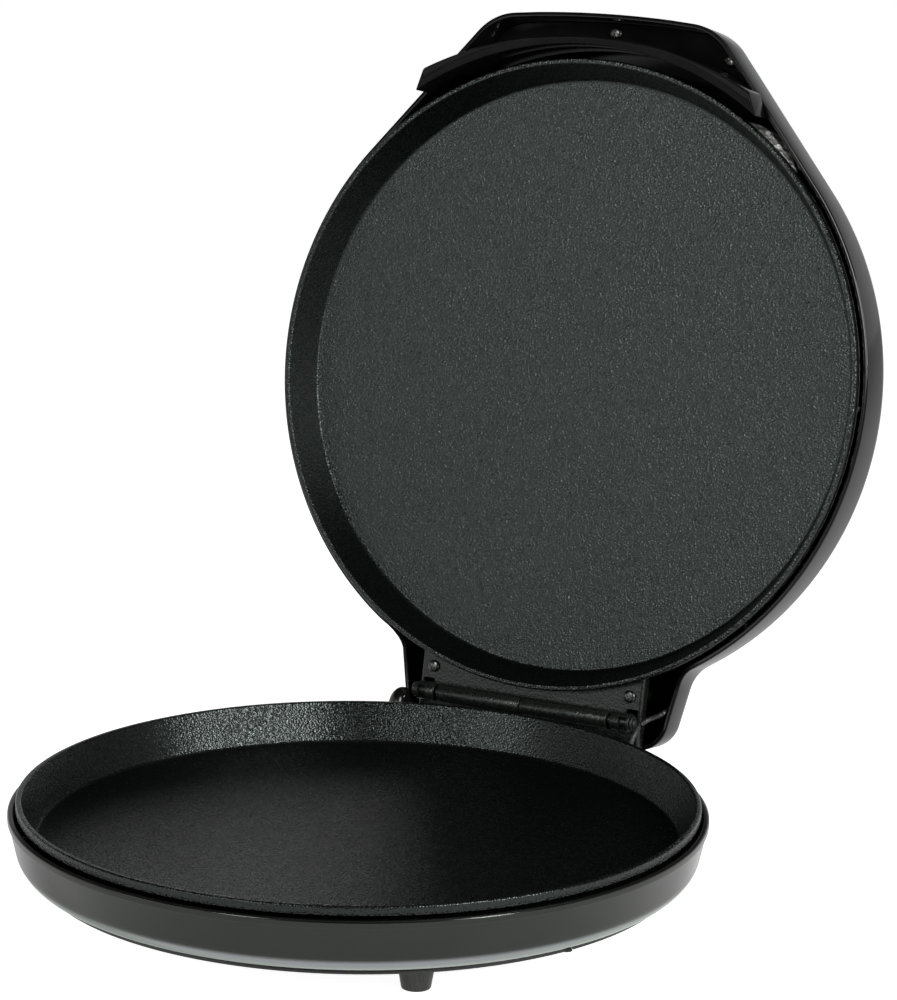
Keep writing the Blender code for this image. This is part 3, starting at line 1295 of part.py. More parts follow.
def smooth_path(points, steps):
    """Points of a smooth curve through the given ones."""
    path = []
    padded = [points[0]] + list(points) + [points[-1]]
    for index in range(1, len(padded) - 2):
        before, start, end, after = [Vector(point) for point in padded[index - 1:index + 3]]
        for step in range(steps):
            t = step / steps
            path.append(tuple(
                0.5 * (2 * start + (end - before) * t
                       + (2 * before - 5 * start + 4 * end - after) * t ** 2
                       + (3 * start - before - 3 * end + after) * t ** 3)))
    path.append(tuple(points[-1]))
    return path


def lead_wall_x(y, level):
    """Where the lead lies against the inside of the tail's right wall."""
    flank = [point for point in lid_half_outline() if point[1] > 0.0]
    start, end = [(a, b) for a, b in zip(flank, flank[1:]) if a[1] <= y <= b[1]][0]
    slope = (start[0] - end[0]) / (end[1] - start[1])
    half = start[0] - slope * (y - start[1])
    draft = LID_DRAFT * (level - TAIL_RIM) / (LID_SHOULDER - TAIL_RIM)
    return half - draft - (LID_WALL + 2 * GAP + LEAD_RADIUS) * math.sqrt(1.0 + slope ** 2)


def leads():
    """The upper heater's supply lead, in two lengths that meet on the hinge axis."""
    x, y = LEAD_PLACE
    deck = -SHELF_DROP
    axis = (LEAD_AXIS_X, HINGE_REACH, HINGE_RISE)
    rise = HINGE_RISE - deck
    straight, turn, lean = LEAD_RISE_SHARES
    below = [(x, y, -LEAD_DROP), (x, y, deck), (x, y, deck + rise * straight),
             (x + LEAD_RADIUS * lean, y + LEAD_RADIUS * 2, deck + rise * turn),
             (axis[0], axis[1] - GAP * 2, axis[2] - GAP * 4)]
    tube("lid_lead_base_end", smooth_path(below, 4), LEAD_RADIUS, silicone(), "base")
    behind = CHANNEL_LIFT + BARREL_RADIUS
    above = [(axis[0], axis[1], axis[2] + LEAD_RADIUS + GAP * 4),
             (axis[0] + LEAD_RADIUS * 2, axis[1] - LEAD_RADIUS * 2, axis[2] + behind),
             (LEAD_TAIL_X, axis[1] - BARREL_RADIUS, axis[2] + behind * LEAD_BEND_SHARES[1])]
    for share, level in zip(LEAD_BEND_SHARES, (TAIL_RIM + 2 * LEAD_RADIUS, LID_SHOULDER)):
        y = axis[1] - BARREL_RADIUS * share
        above.append((lead_wall_x(y, level), y, level))
    tube("lid_lead_lid_end", smooth_path(above, 4), LEAD_RADIUS, silicone(), "lid")
    sleeve = LEAD_RADIUS + GAP
    neck = LEAD_RADIUS + 2 * GAP + GROMMET_FLANGE
    top = deck + GAP
    low = deck - HOUSING_WALL - GAP
    profile = [
        (sleeve, top + GROMMET_FLANGE), (GROMMET_RADIUS, top + GROMMET_FLANGE), (GROMMET_RADIUS, top),
        (neck, top), (neck, low), (GROMMET_RADIUS, low), (GROMMET_RADIUS, low - GROMMET_FLANGE),
        (sleeve, low - GROMMET_FLANGE),
    ]
    put(turned("grommet", profile), "lead_grommet", rubber(), "base", (*LEAD_PLACE, 0.0))


def cord_gland():
    """Moulded inlet for the supply cord, in the shelf's rear wall."""
    outside = GAP
    inside = -HOUSING_WALL - GAP
    neck = GLAND_RADIUS * GLAND_NECK_SHARE
    bore = GLAND_RADIUS * GLAND_BORE_SHARE
    collar = GLAND_RADIUS * GLAND_COLLAR_SHARE
    profile = [
        (bore, outside + GLAND_LENGTH), (neck, outside + GLAND_LENGTH),
        (neck * GLAND_TAPER_SHARE, outside + GLAND_FLANGE), (GLAND_RADIUS, outside + GLAND_FLANGE),
        (GLAND_RADIUS, outside), (neck, outside), (neck, inside), (collar, inside),
        (collar, inside - GLAND_FLANGE), (bore, inside - GLAND_FLANGE),
    ]
    place = (-SHELF_HALF * GLAND_PLACE_SHARE, SHELF_REACH, gland_height())
    put(turned("gland", profile), "cord_gland", rubber(), "base", place, (-math.pi / 2, 0.0, 0.0))


def stand_on_origin(root):
    """Move the product so that its box stands centred on the world origin."""
    bpy.context.view_layer.update()
    graph = bpy.context.evaluated_depsgraph_get()
    low = Vector((math.inf, math.inf, math.inf))
    high = -low
    for piece in bpy.data.objects:
        if piece.type == "EMPTY" or piece.hide_render:
            continue
        shown = piece.evaluated_get(graph)
        mesh = shown.to_mesh()
        for vertex in mesh.vertices:
            place = shown.matrix_world @ vertex.co
            low = Vector(map(min, low, place))
            high = Vector(map(max, high, place))
        shown.to_mesh_clear()
    root.location.y -= (low.y + high.y) / 2
    bpy.context.view_layer.update()
    axis = BODIES["lid"].matrix_world.translation
    print("hinge axis at", [round(value, 5) for value in axis])
    print("box size", [round(value, 5) for value in high - low])


def main():
    clear_scene()
    root = empty("product", None, (0.0, 0.0, RIM_HEIGHT))
    BODIES["base"] = root
    pivot = empty("lid_pivot", root, (0.0, HINGE_REACH, HINGE_RISE))
    pivot.rotation_euler.x = -math.radians(OPEN_ANGLE_DEG)
    BODIES["lid"] = pivot
    cooking_plates()
    base_housing()
    bottom_cover()
    cover_screws()
    feet()
    heater_parts("lower", "base", -1, -PLATE_DEPTH - LOWER_FLOOR)
    heater_parts("upper", "lid", 1, RIM_CLEARANCE + PLATE_DEPTH + UPPER_FLOOR)
    terminal_block()
    base_hinge_bracket()
    bracket_screws()
    hinge_pin()
    lid_hinge_plate()
    lid_hinge_screws()
    lid_shell()
    handle_grip()
    grip_screws()
    insulation_foil()
    lamps()
    leads()
    cord_gland()
    stand_on_origin(root)


main()
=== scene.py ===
"""Electric pizza maker, dressed for display around its CAD frame.

Every piece is built in the frame that the two halves share when the maker is shut: the
origin is the middle of the lower plate's rim, +Z is up and -Y is the front. A finished
piece is then moved to its body's place in the frame, the lid's at its open stop.
Lengths are in metres.
"""

import json
import math

import bmesh
import bpy
from mathutils import Matrix, Vector, noise


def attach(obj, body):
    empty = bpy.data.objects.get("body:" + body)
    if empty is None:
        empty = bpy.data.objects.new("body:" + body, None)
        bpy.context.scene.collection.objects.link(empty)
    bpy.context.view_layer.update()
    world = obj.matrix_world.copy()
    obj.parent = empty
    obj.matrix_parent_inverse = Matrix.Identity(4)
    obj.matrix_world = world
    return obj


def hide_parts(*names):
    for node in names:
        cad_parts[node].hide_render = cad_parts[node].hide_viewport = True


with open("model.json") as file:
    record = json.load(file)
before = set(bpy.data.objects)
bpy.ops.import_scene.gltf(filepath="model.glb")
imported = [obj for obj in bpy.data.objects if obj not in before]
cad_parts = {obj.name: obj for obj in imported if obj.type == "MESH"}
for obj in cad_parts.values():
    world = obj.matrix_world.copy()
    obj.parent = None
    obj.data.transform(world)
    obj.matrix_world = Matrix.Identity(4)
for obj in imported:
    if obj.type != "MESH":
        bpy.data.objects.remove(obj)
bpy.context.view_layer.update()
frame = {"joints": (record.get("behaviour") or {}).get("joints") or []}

bl_info = {
    "name": "Electric Pizza Maker",
    "version": (1, 0, 0),
    "blender": (4, 5, 0),
    "location": "View3D > Sidebar > Pizza Maker",
    "description": "Builds a hinged pizza maker, its finishes and its studio around a CAD frame",
    "category": "Add Mesh",
}

JOINT = next(joint for joint in frame["joints"] if joint["name"] == "lid_hinge")
HINGE_PLACE = Vector(JOINT["pos_m"])
OPEN_ANGLE = math.radians(JOINT["range_deg"][1] - JOINT["range_deg"][0])

# Fits and facets.
GAP = 0.0003
WELD = 0.000001
SKIM = 0.0006
OVERRUN = 0.002
ROUND_STEPS = 256
MIDDLE_STEPS = 96
SMALL_STEPS = 48
SMOOTH_ANGLE = math.radians(32.0)

# Rounded edges, finest first.
FILLET_HAIR = 0.0001
FILLET_FINE = 0.0002
FILLET_SMALL = 0.0003
FILLET_PLAIN = 0.0004
FILLET_MEDIUM = 0.0005
FILLET_BROAD = 0.0006
FILLET_WIDE = 0.0008
FILLET_LARGE = 0.0009
FILLET_FULL = 0.0012

# How far a rounded corner may use up its sides, which corners count as straight,
# how far a mitre may reach, and where a rounded edge is half done.
CORNER_SHARE = 0.48
STRAIGHT_ANGLE = math.radians(88.0)
MITRE_SHARE = 0.3
BEVEL_SHARE = 0.3

# Hinge axis, measured from the middle of the lower rim.
HINGE_REACH = 0.17235
HINGE_RISE = 0.0015

# Cooking plates.
BAND_HEIGHT = 0.0045
PLATE_WALL = 0.0024
PLATE_CORNER = 0.0030
FLOOR_CORNER = 0.0018
RIM_ROUND = 0.0009
LOWER_FLOOR = 0.0028
UPPER_FLOOR = 0.0026
RIM_CLEARANCE = 0.0004
BOSS_RADIUS = 0.0065
BOSS_LENGTH = 0.0072
BOSS_BORE = 0.0023
BORE_DEPTH = 0.0060

# Base housing, its ribs and the hinge shelf.
LIP_DROP = 0.0056
LIP_WIDTH = 0.0030
LIP_HEIGHT = 0.0034
LIP_FILLETS = (0.0007, 0.0009)
HOUSING_WALL = 0.0024
HOUSING_TOP = 0.1662
HOUSING_FOOT = 0.1635
EDGE_DROP = 0.0203
EDGE_ROUND = 0.0125
FLANGE_RADIUS = 0.1483
RIB_THICKNESS = 0.0024
RIB_ANGLES = (-135.0, -90.0, -45.0, -20.0, 20.0, 45.0, 90.0, 135.0)
LID_RIB_ANGLES = (-135.0, -90.0, -45.0, 45.0, 90.0, 135.0)
RIB_LEDGE = 0.0050
SHELF_HALF = 0.0770
SHELF_REACH = 0.1770
SHELF_DROP = 0.0175
SHELF_CORNER = 0.0120
SHELF_EDGE = 0.0010
SHELF_LIFT = 0.0001
SHELF_FRONT_TOP = 0.1622
SHELF_FRONT_FOOT = 0.1508
EAR_CENTRE = (-0.0690, 0.1680, -0.0094)
EAR_RADII = (0.0080, 0.0070, 0.0120)
EAR_INNER = 0.0658

# Bright lower edge of the base, in the row frame: bare under its foot, dark over its top
# and behind its rear.
EDGE_BRIGHT_TOP = 0.0266
EDGE_BRIGHT_FOOT = 0.0240
EDGE_BRIGHT_REAR = 0.1040

# Bottom cover, feet and screws.
COVER_RADIUS = 0.1528
COVER_THICKNESS = 0.0018
COVER_INSET = 0.0030
COVER_SCREW_RING = 0.1513
COVER_SCREW_ANGLES = (-112.5, -67.5, 67.5, 112.5)
COVER_SCREW_LENGTH = 0.0075
COVER_SCREW_SINK = 0.0014
COVER_SCREW_HEAD = 0.0027
COVER_BOSS = (0.0036, 0.0073)
COVER_BOSS_LIFT = 0.0013
VENT_SIZE = (0.0300, 0.0040)
VENT_PITCH = 0.0100
VENT_ROWS = 5
VENT_END_SHARE = 0.47
FOOT_ANGLES = (-41.2, 41.2, 138.8, 221.2)
FOOT_NAMES = ("front_left", "front_right", "rear_right", "rear_left")
FOOT_NECK = 0.0034
FOOT_HEAD = (0.0046, 0.0014)
FOOT_SHORT = 0.0005
PAD_RADIUS = 0.0050
PAD_THICKNESS = 0.0022
SCREW_RADIUS = 0.0016
SCREW_HOLE = 0.0020
SCREW_HEAD = (0.0033, 0.0018)
THREAD_PITCH = 0.0006
THREAD_CORE_SHARE = 0.84
THREAD_TIP_SHARE = 0.5
CROSS_SHARES = (1.25, 0.26)
CROSS_DEPTH_SHARE = 0.9
HEAD_RIM_SHARE = 0.35
SINK_EDGE_SHARE = 0.15
SCREW_TURN = 0.4

# Heaters and what goes with them.
ELEMENT_TUBE = 0.0029
ELEMENT_RADIUS = 0.0980
ELEMENT_GATE = 11.0
ELEMENT_BEND = 0.0120
ELEMENT_BEND_SHARES = (0.45, 0.5, 0.25, 0.8)
ELEMENT_LEG_END = 0.1265
LEG_SPREAD = 0.0110
STRAP_ANGLES = (-80.0, 0.0, 80.0)
STRAP_WIDTH = 0.0080
STRAP_THICKNESS = 0.0007
STRAP_FOOT = 0.0060
STRAP_ROOM = 0.0009
STRAP_SHOULDER_SHARE = 0.45
SHIELD_RADIUS = 0.1220
SHIELD_THICKNESS = 0.0008
SHIELD_CURL = 0.0008
SHIELD_DISH = 0.0030
SHIELD_SCREW_HEAD = 0.0050
THERMOSTAT = (0.0085, 0.0048, 0.0105)
THERMOSTAT_PLACE = (0.0420, 0.0300)
THERMOSTAT_SHARES = (0.2, 0.8, 0.7)
FUSE = (0.0020, 0.0180)
FUSE_PLACE = (-0.0420, 0.0300)
BLOCK_SIZE = (0.0340, 0.0110, 0.0080)
BLOCK_PLACE_Y = 0.1345

# Hinge.
PIN_RADIUS = 0.00225
KNUCKLE_END = 0.0490
KNUCKLE_SPLIT = 0.0012
KNUCKLE_GAP = 0.0006
LUG_INNER = 0.0512
LUG_OUTER = 0.0618
LUG_WEB = 0.0030
LUG_WINDOW = 0.0046
WEB_THICKNESS = 0.0038
PIN_HEAD = (0.0040, 0.0024)
PIN_TAIL = 0.0014
CLIP = (0.0038, 0.0010)
BRACKET_FOOT = 0.0024
BRACKET_REACH = 0.0024
BRACKET_LEDGE = (0.0036, 0.0013)
BRACKET_SCREW_SHARES = (0.25, 0.75)
BRACKET_SCREW_OFFSET = 0.0014
CHANNEL_HALF = 0.0642
CHANNEL_THICKNESS = 0.0024
CHANNEL_DEPTH = 0.0062
CHANNEL_FRONT = 0.1380
CHANNEL_REAR = 0.1855
CHANNEL_LIFT = 0.0005
CHANNEL_CLEAR = 0.0007
CHANNEL_BEND = 0.0012
WINDOW_FRONT = 0.0068
WINDOW_REAR = 0.0058
WINDOW_OUTER = 0.0008
LID_SCREW_PLACE = (0.0569, 0.1595)
LID_SCREW_HEAD = (0.0032, 0.0016)
LID_SCREW_TURNS = (0.2, 0.8)
LID_BOSS = 0.0046
LUG_WINDOW_SHARES = (1.15, 0.2)

# Lid shell.
LID_RIM = 0.0066
LID_WALL = 0.0024
LID_DRAFT = 0.0006
LID_CROWN = 0.0022
CROWN_RING_SHARES = (0.96, 0.88, 0.76, 0.62, 0.46, 0.30, 0.15, 0.06)
LID_EDGE = 0.0006
VISOR_TANGENT = 51.0
VISOR_BOW = 0.6000
VISOR_CORNER = 0.0300
VISOR_RUN_SHARE = 0.75
TAIL_HALF_FRONT = 0.0800
TAIL_HALF_REAR = 0.0736
TAIL_FILLET = 0.0200
TAIL_CORNER = 0.0170
TAIL_RIM = 0.0135
TAIL_RAMP = (0.1380, 0.1540)

# Grip.
GRIP_INNER = 0.1694
GRIP_BOW_RADIUS = 0.2000
GRIP_BOW_CENTRE = 0.0263
GRIP_SEAT = 0.0062
GRIP_TOP = 0.0270
GRIP_END_INNER = 34.8
GRIP_END_OUTER = 31.4
GRIP_TONGUE = 27.5
GRIP_FLANGE = 0.0022
GRIP_FLANGE_HALF = 0.0780
GRIP_FLANGE_SINK = 0.0001
GRIP_SLANT = 0.0020
GRIP_FILLETS = (0.0008, 0.0012, 0.0007, 0.0004)
GRIP_END_ROUND = 0.0009
GRIP_END_SHARES = (3.0, 9.0)
GRIP_BACK_SHARE = 0.94
GRIP_SCREWS = ((-0.0660, -0.1683), (0.0, -0.1788), (0.0660, -0.1683))
GRIP_SCREW_TURNS = (-0.294, 0.3, 0.894)
GRIP_BOSS = 0.0036

# Foil, lamps, lead and gland.
FOIL_THICKNESS = 0.0003
FOIL_STANDOFF = 0.0005
FOIL_END = 153.0
FOIL_HEM = 0.0003
FOIL_CREASE = 0.00022
FOIL_HEM_SCALE = 60.0
FOIL_CREASE_SCALES = (45.0, 140.0)
FOIL_SWELL_AT = 38.8
FOIL_SWELL_HALF = 6.6
FOIL_SWELL_OUT = 0.0048
FOIL_SWELL_RISE = 0.0034
LAMP_PLACES = ((-0.0130, -0.1420), (0.0130, -0.1420))
LAMP_STEM = (0.0036, 0.0070)
LAMP_DOME = 0.0016
LAMP_SEAT = 0.0005
LENS_RING_SHARE = 0.86
LENS_RIM_SHARE = 0.45
LEAD_RADIUS = 0.0013
LEAD_PLACE = (0.0645, 0.1650)
LEAD_AXIS_X = 0.0660
LEAD_DROP = 0.0250
LEAD_TAIL_X = 0.0715
LEAD_RISE_SHARES = (0.45, 0.75)
LEAD_LEAN_SHARE = 0.8
LEAD_BEND_SHARES = (1.5, 2.2)
GROMMET_RADIUS = 0.0042
GROMMET_FLANGE = 0.0012
GLAND_PLACE_X = -0.0450
GLAND_RADIUS = 0.00645
GLAND_NECK = 0.00455
GLAND_BORE = 0.00294
GLAND_LENGTH = 0.0090
GLAND_FLANGE = 0.0018
GLAND_RIB = (0.0012, 0.0004, 0.0003)
GLAND_TIP_SHARE = 0.86
GLAND_TAPER_SHARES = (0.90, 0.22)
GLAND_GROOVE_SHARE = 0.9
GLAND_FOOT_SHARE = 1.15

# Spans of a pattern over which a colour and a roughness change.
COLOUR_SPAN = (0.35, 0.65)
ROUGHNESS_SPAN = (0.3, 0.7)

# Finishes: the size of a pattern, or its size and depth where it is relief.
COATING_WAVE = (0.03, 0.00004)
HINGE_GRAIN = (0.0011, 0.00018)
MOULD_CLOUD = 0.02
MOULD_HAZE = 0.035
MOULD_WAVE = (0.03, 0.00002)
MOULD_GRAIN = (0.0008, 0.000002)
GRIP_HAZE = 0.03
BAND_CLOUD = 0.025
BAND_HAZE = 0.04
BAND_WAVE = (0.04, 0.00006)
BAND_GRAIN = (0.0009, 0.000002)
FOOT_STREAK = (0.0012, 0.00002)
STEEL_LINE = (0.0007, 0.00001)
STEEL_HAZE = 0.004
PAINT_GRAIN = (0.0007, 0.00003)
PAINT_HAZE = 0.02
ZINC_GRAIN = (0.0007, 0.00002)
SHEET_SPANGLE = 0.006
SHEET_LINE = 0.0015
SHEET_WAVE = (0.01, 0.00006)
FOIL_CLOUD = 0.003
FOIL_HAZE = 0.002
FOIL_FOLD = (0.0040, 0.0010)
FOIL_WRINKLE = (0.0020, 0.0004)
RUBBER_DUST = 0.004
RUBBER_GRAIN = (0.0006, 0.00003)
CERAMIC_CLOUD = 0.003
CERAMIC_GRAIN = (0.0008, 0.00003)
SLEEVE_WEAVE = (0.0006, 0.00008)
SLEEVE_HAZE = 0.002
LENS_PEBBLE = (0.0009, 0.00006)
LENS_HAZE = 0.002

# Floor: half its side, and the light it adds of its own where the camera or a gloss sees it.
FLOOR_HALF = 12.0
FLOOR_LIFT_SHARE = 0.94
FLOOR_GLOSS_SHARE = 0.40

# Where the room falls from bright to dim: by how far a ray faces the camera, and by its rise.
ROOM_FACING = (-0.1, 0.75)
ROOM_GLOW = (0.15, 0.42)

# Height that the softboxes face.
SOFTBOX_AIM = 0.12

# Softboxes: name, azimuth, elevation, distance, and width and height.
SOFTBOXES = (
    ("top", 150.0, 72.0, 1.7, (1.5, 1.2)),
    ("middle", -8.0, 26.0, 1.8, (0.34, 0.6)),
    ("right", 70.0, 26.0, 1.8, (0.34, 0.7)),
    ("low", -32.0, 9.0, 1.9, (1.0, 0.5)),
)

# Camera, measured from the middle of the lower rim.
CAMERA_AZIMUTH = math.radians(27.82)
CAMERA_ELEVATION = math.radians(13.03)
CAMERA_ROLL = math.radians(1.0)
CAMERA_PLACE = (0.80892, -1.43781, 0.51660)
CAMERA_SENSOR = 36.0
CAMERA_LENS = 130.05
CAMERA_SHIFT = (-0.0088, 0.0201)
CAMERA_CLIP = (0.01, 50.0)


class PizzaSizes(bpy.types.PropertyGroup):
    """Leading sizes of the maker."""

    plate_radius: bpy.props.FloatProperty(
        name="Plate Radius", description="Outer radius of both plates' rims", default=0.1630, unit="LENGTH")
    floor_radius: bpy.props.FloatProperty(
        name="Floor Radius", description="Radius of the flat cooking floor", default=0.1534, unit="LENGTH")
    plate_depth: bpy.props.FloatProperty(
        name="Plate Depth", description="From the rim to the cooking floor", default=0.0195, unit="LENGTH")
    rim_width: bpy.props.FloatProperty(
        name="Rim Width", description="Width of a plate's flat rim", default=0.0027, unit="LENGTH")
    lip_radius: bpy.props.FloatProperty(
        name="Lip Radius", description="Outer radius of the base's lip", default=0.1669, unit="LENGTH")
    lid_radius: bpy.props.FloatProperty(
        name="Lid Radius", description="Outer radius of the lid's round part", default=0.1668, unit="LENGTH")
    lid_shoulder: bpy.props.FloatProperty(
        name="Lid Shoulder", description="Height at which the lid's side starts to round", default=0.02775,
        unit="LENGTH")
    lid_round: bpy.props.FloatProperty(
        name="Lid Rounding", description="Radius of the lid's upper edge", default=0.0146, unit="LENGTH")
    visor_reach: bpy.props.FloatProperty(
        name="Visor Reach", description="From the middle to the visor's front", default=0.1868, unit="LENGTH")
    tail_reach: bpy.props.FloatProperty(
        name="Tail Reach", description="From the middle to the tail's rear", default=0.1872, unit="LENGTH")
    grip_drop: bpy.props.FloatProperty(
        name="Grip Drop", description="How far the grip's outer edge hangs under the rim", default=0.0105,
        unit="LENGTH")
    barrel_radius: bpy.props.FloatProperty(
        name="Barrel Radius", description="Radius of the hinge's knuckles", default=0.0048, unit="LENGTH")
    foot_ring: bpy.props.FloatProperty(
        name="Foot Ring", description="Radius of the circle the feet stand on", default=0.1280, unit="LENGTH")
    foot_top: bpy.props.FloatProperty(
        name="Foot Top", description="Radius of a foot at the cover", default=0.0093, unit="LENGTH")
    foot_bottom: bpy.props.FloatProperty(
        name="Foot Bottom", description="Radius of a foot at the table", default=0.0067, unit="LENGTH")
    lamp_radius: bpy.props.FloatProperty(
        name="Lamp Radius", description="Radius of an indicator lens", default=0.0050, unit="LENGTH")
    stand_height: bpy.props.FloatProperty(
        name="Stand Height", description="Height of the lower rim over the table", default=0.0511,
        unit="LENGTH")


class PizzaFinishes(bpy.types.PropertyGroup):
    """Colours and grains of the maker."""

    coating: bpy.props.FloatVectorProperty(
        name="Coating", description="Non-stick coating of the plates", default=(0.0012, 0.0018, 0.0014),
        subtype="COLOR")
    gloss: bpy.props.FloatVectorProperty(
        name="Gloss Black", description="Moulded lid and grip", default=(0.004, 0.004, 0.004),
        subtype="COLOR")
    band: bpy.props.FloatVectorProperty(
        name="Base Band", description="Moulded base housing", default=(0.006, 0.0063, 0.0056),
        subtype="COLOR")
    steel: bpy.props.FloatVectorProperty(
        name="Steel", description="Straps, heaters and hidden screws", default=(0.52, 0.52, 0.51),
        subtype="COLOR")
    red: bpy.props.FloatVectorProperty(
        name="Power Lens", description="Lens of the power lamp", default=(0.45, 0.012, 0.010),
        subtype="COLOR")
    green: bpy.props.FloatVectorProperty(
        name="Ready Lens", description="Lens of the ready lamp", default=(0.015, 0.30, 0.05),
        subtype="COLOR")
    coating_grain: bpy.props.FloatProperty(
        name="Coating Grain", description="Size of the coating's orange peel", default=0.0010,
        precision=5, unit="LENGTH")
    coating_relief: bpy.props.FloatProperty(
        name="Coating Relief", description="Height of the coating's orange peel", default=0.00020,
        precision=6, unit="LENGTH")


class PizzaStudio(bpy.types.PropertyGroup):
    """Floor, light and camera."""

    floor: bpy.props.FloatVectorProperty(
        name="Floor", description="Colour of the floor", default=(0.90, 0.90, 0.90), subtype="COLOR")
    top_light: bpy.props.FloatProperty(
        name="Top Light", description="Power of the overhead softbox", default=2.0, unit="POWER")
    middle_light: bpy.props.FloatProperty(
        name="Middle Light", description="Power of the softbox in the middle", default=10.0,
        unit="POWER")
    right_light: bpy.props.FloatProperty(
        name="Right Light", description="Power of the right softbox", default=30.0, unit="POWER")
    room_light: bpy.props.FloatProperty(
        name="Room Light", description="Brightness of the room behind the object", default=0.70)
    front_light: bpy.props.FloatProperty(
        name="Front Light", description="Brightness of the room in front", default=0.04)
    ceiling_light: bpy.props.FloatProperty(
        name="Ceiling Light", description="Share of the room light that is left overhead", default=0.04)
    low_light: bpy.props.FloatProperty(
        name="Low Light", description="Power of the low softbox in front", default=3.0, unit="POWER")
    lens: bpy.props.FloatProperty(
        name="Lens", description="Focal length in millimetres", default=CAMERA_LENS)


def sizes():
    return bpy.context.scene.pizza_sizes


def finishes():
    return bpy.context.scene.pizza_finishes


def body_matrix(body):
    """Where a body's shut frame stands in the row frame."""
    shut = Matrix.Translation((0.0, -HINGE_REACH, -HINGE_RISE))
    turn = Matrix.Rotation(-OPEN_ANGLE, 4, "X") if body == "lid" else Matrix.Identity(4)
    return Matrix.Translation(HINGE_PLACE) @ turn @ shut


def at(x, y, z):
    return Matrix.Translation((x, y, z))


def along_x():
    """Lays an upright shape along X."""
    return Matrix.Rotation(math.pi / 2, 4, "Y")


def hinge_line(x=0.0):
    """An upright shape's place on the hinge axis."""
    return at(x, HINGE_REACH, HINGE_RISE) @ along_x()


def arc(centre, radius, start_deg, end_deg, steps):
    """Points of an arc, both ends included."""
    points = []
    for step in range(steps + 1):
        angle = math.radians(start_deg + (end_deg - start_deg) * step / steps)
        points.append((centre[0] + radius * math.cos(angle), centre[1] + radius * math.sin(angle)))
    return points


def ring_place(radius, angle_deg):
    """A place on a circle; the angle runs from the front, and is positive to the right."""
    angle = math.radians(angle_deg)
    return (radius * math.sin(angle), -radius * math.cos(angle))


def mirrored(points):
    """The other half of an outline that is even about Y, in running order."""
    return [(-x, y) for x, y in reversed(points)]


def corner_arc(corner, back, ahead, reach, steps):
    """Points that round a corner between two directions, from a reach before it to one after."""
    half = back.angle(ahead) / 2
    centre = corner + (back + ahead).normalized() * reach / math.cos(half)
    start = corner + back * reach - centre
    end = corner + ahead * reach - centre
    points = []
    for step in range(steps + 1):
        points.append(tuple(centre + start.slerp(end, step / steps).normalized() * start.length))
    return points


def softened(points, radii, steps=4):
    """A closed outline with rounded corners; radii is one number, or one for each corner."""
    count = len(points)
    if not isinstance(radii, (list, tuple)):
        radii = [radii] * count
    path = []
    for index, radius in enumerate(radii):
        corner = Vector(points[index])
        back = Vector(points[index - 1]) - corner
        ahead = Vector(points[(index + 1) % count]) - corner
        half = back.angle(ahead) / 2
        if radius < WELD or half > STRAIGHT_ANGLE:
            path.append(tuple(corner))
            continue
        reach = min(radius / math.tan(half), CORNER_SHARE * back.length, CORNER_SHARE * ahead.length)
        path += corner_arc(corner, back.normalized(), ahead.normalized(), reach, steps)
    return path


def rounded(corners, steps):
    """A closed outline from (corner, radius) pairs."""
    return softened([point for point, _ in corners], [radius for _, radius in corners], steps)


def outward(points):
    """Mitred outward directions of an anticlockwise closed outline."""
    count = len(points)
    normals = []
    for index in range(count):
        before = (Vector(points[index]) - Vector(points[index - 1])).normalized()
        after = (Vector(points[(index + 1) % count]) - Vector(points[index])).normalized()
        first = Vector((before.y, -before.x))
        second = Vector((after.y, -after.x))
        normals.append((first + second) / max(1.0 + first.dot(second), MITRE_SHARE))
    return normals


def winding(points):
    """Signed area, positive for an anticlockwise outline."""
    total = 0.0
    for first, second in zip(points, points[1:] + points[:1]):
        total += first[0] * second[1] - second[0] * first[1]
    return total / 2


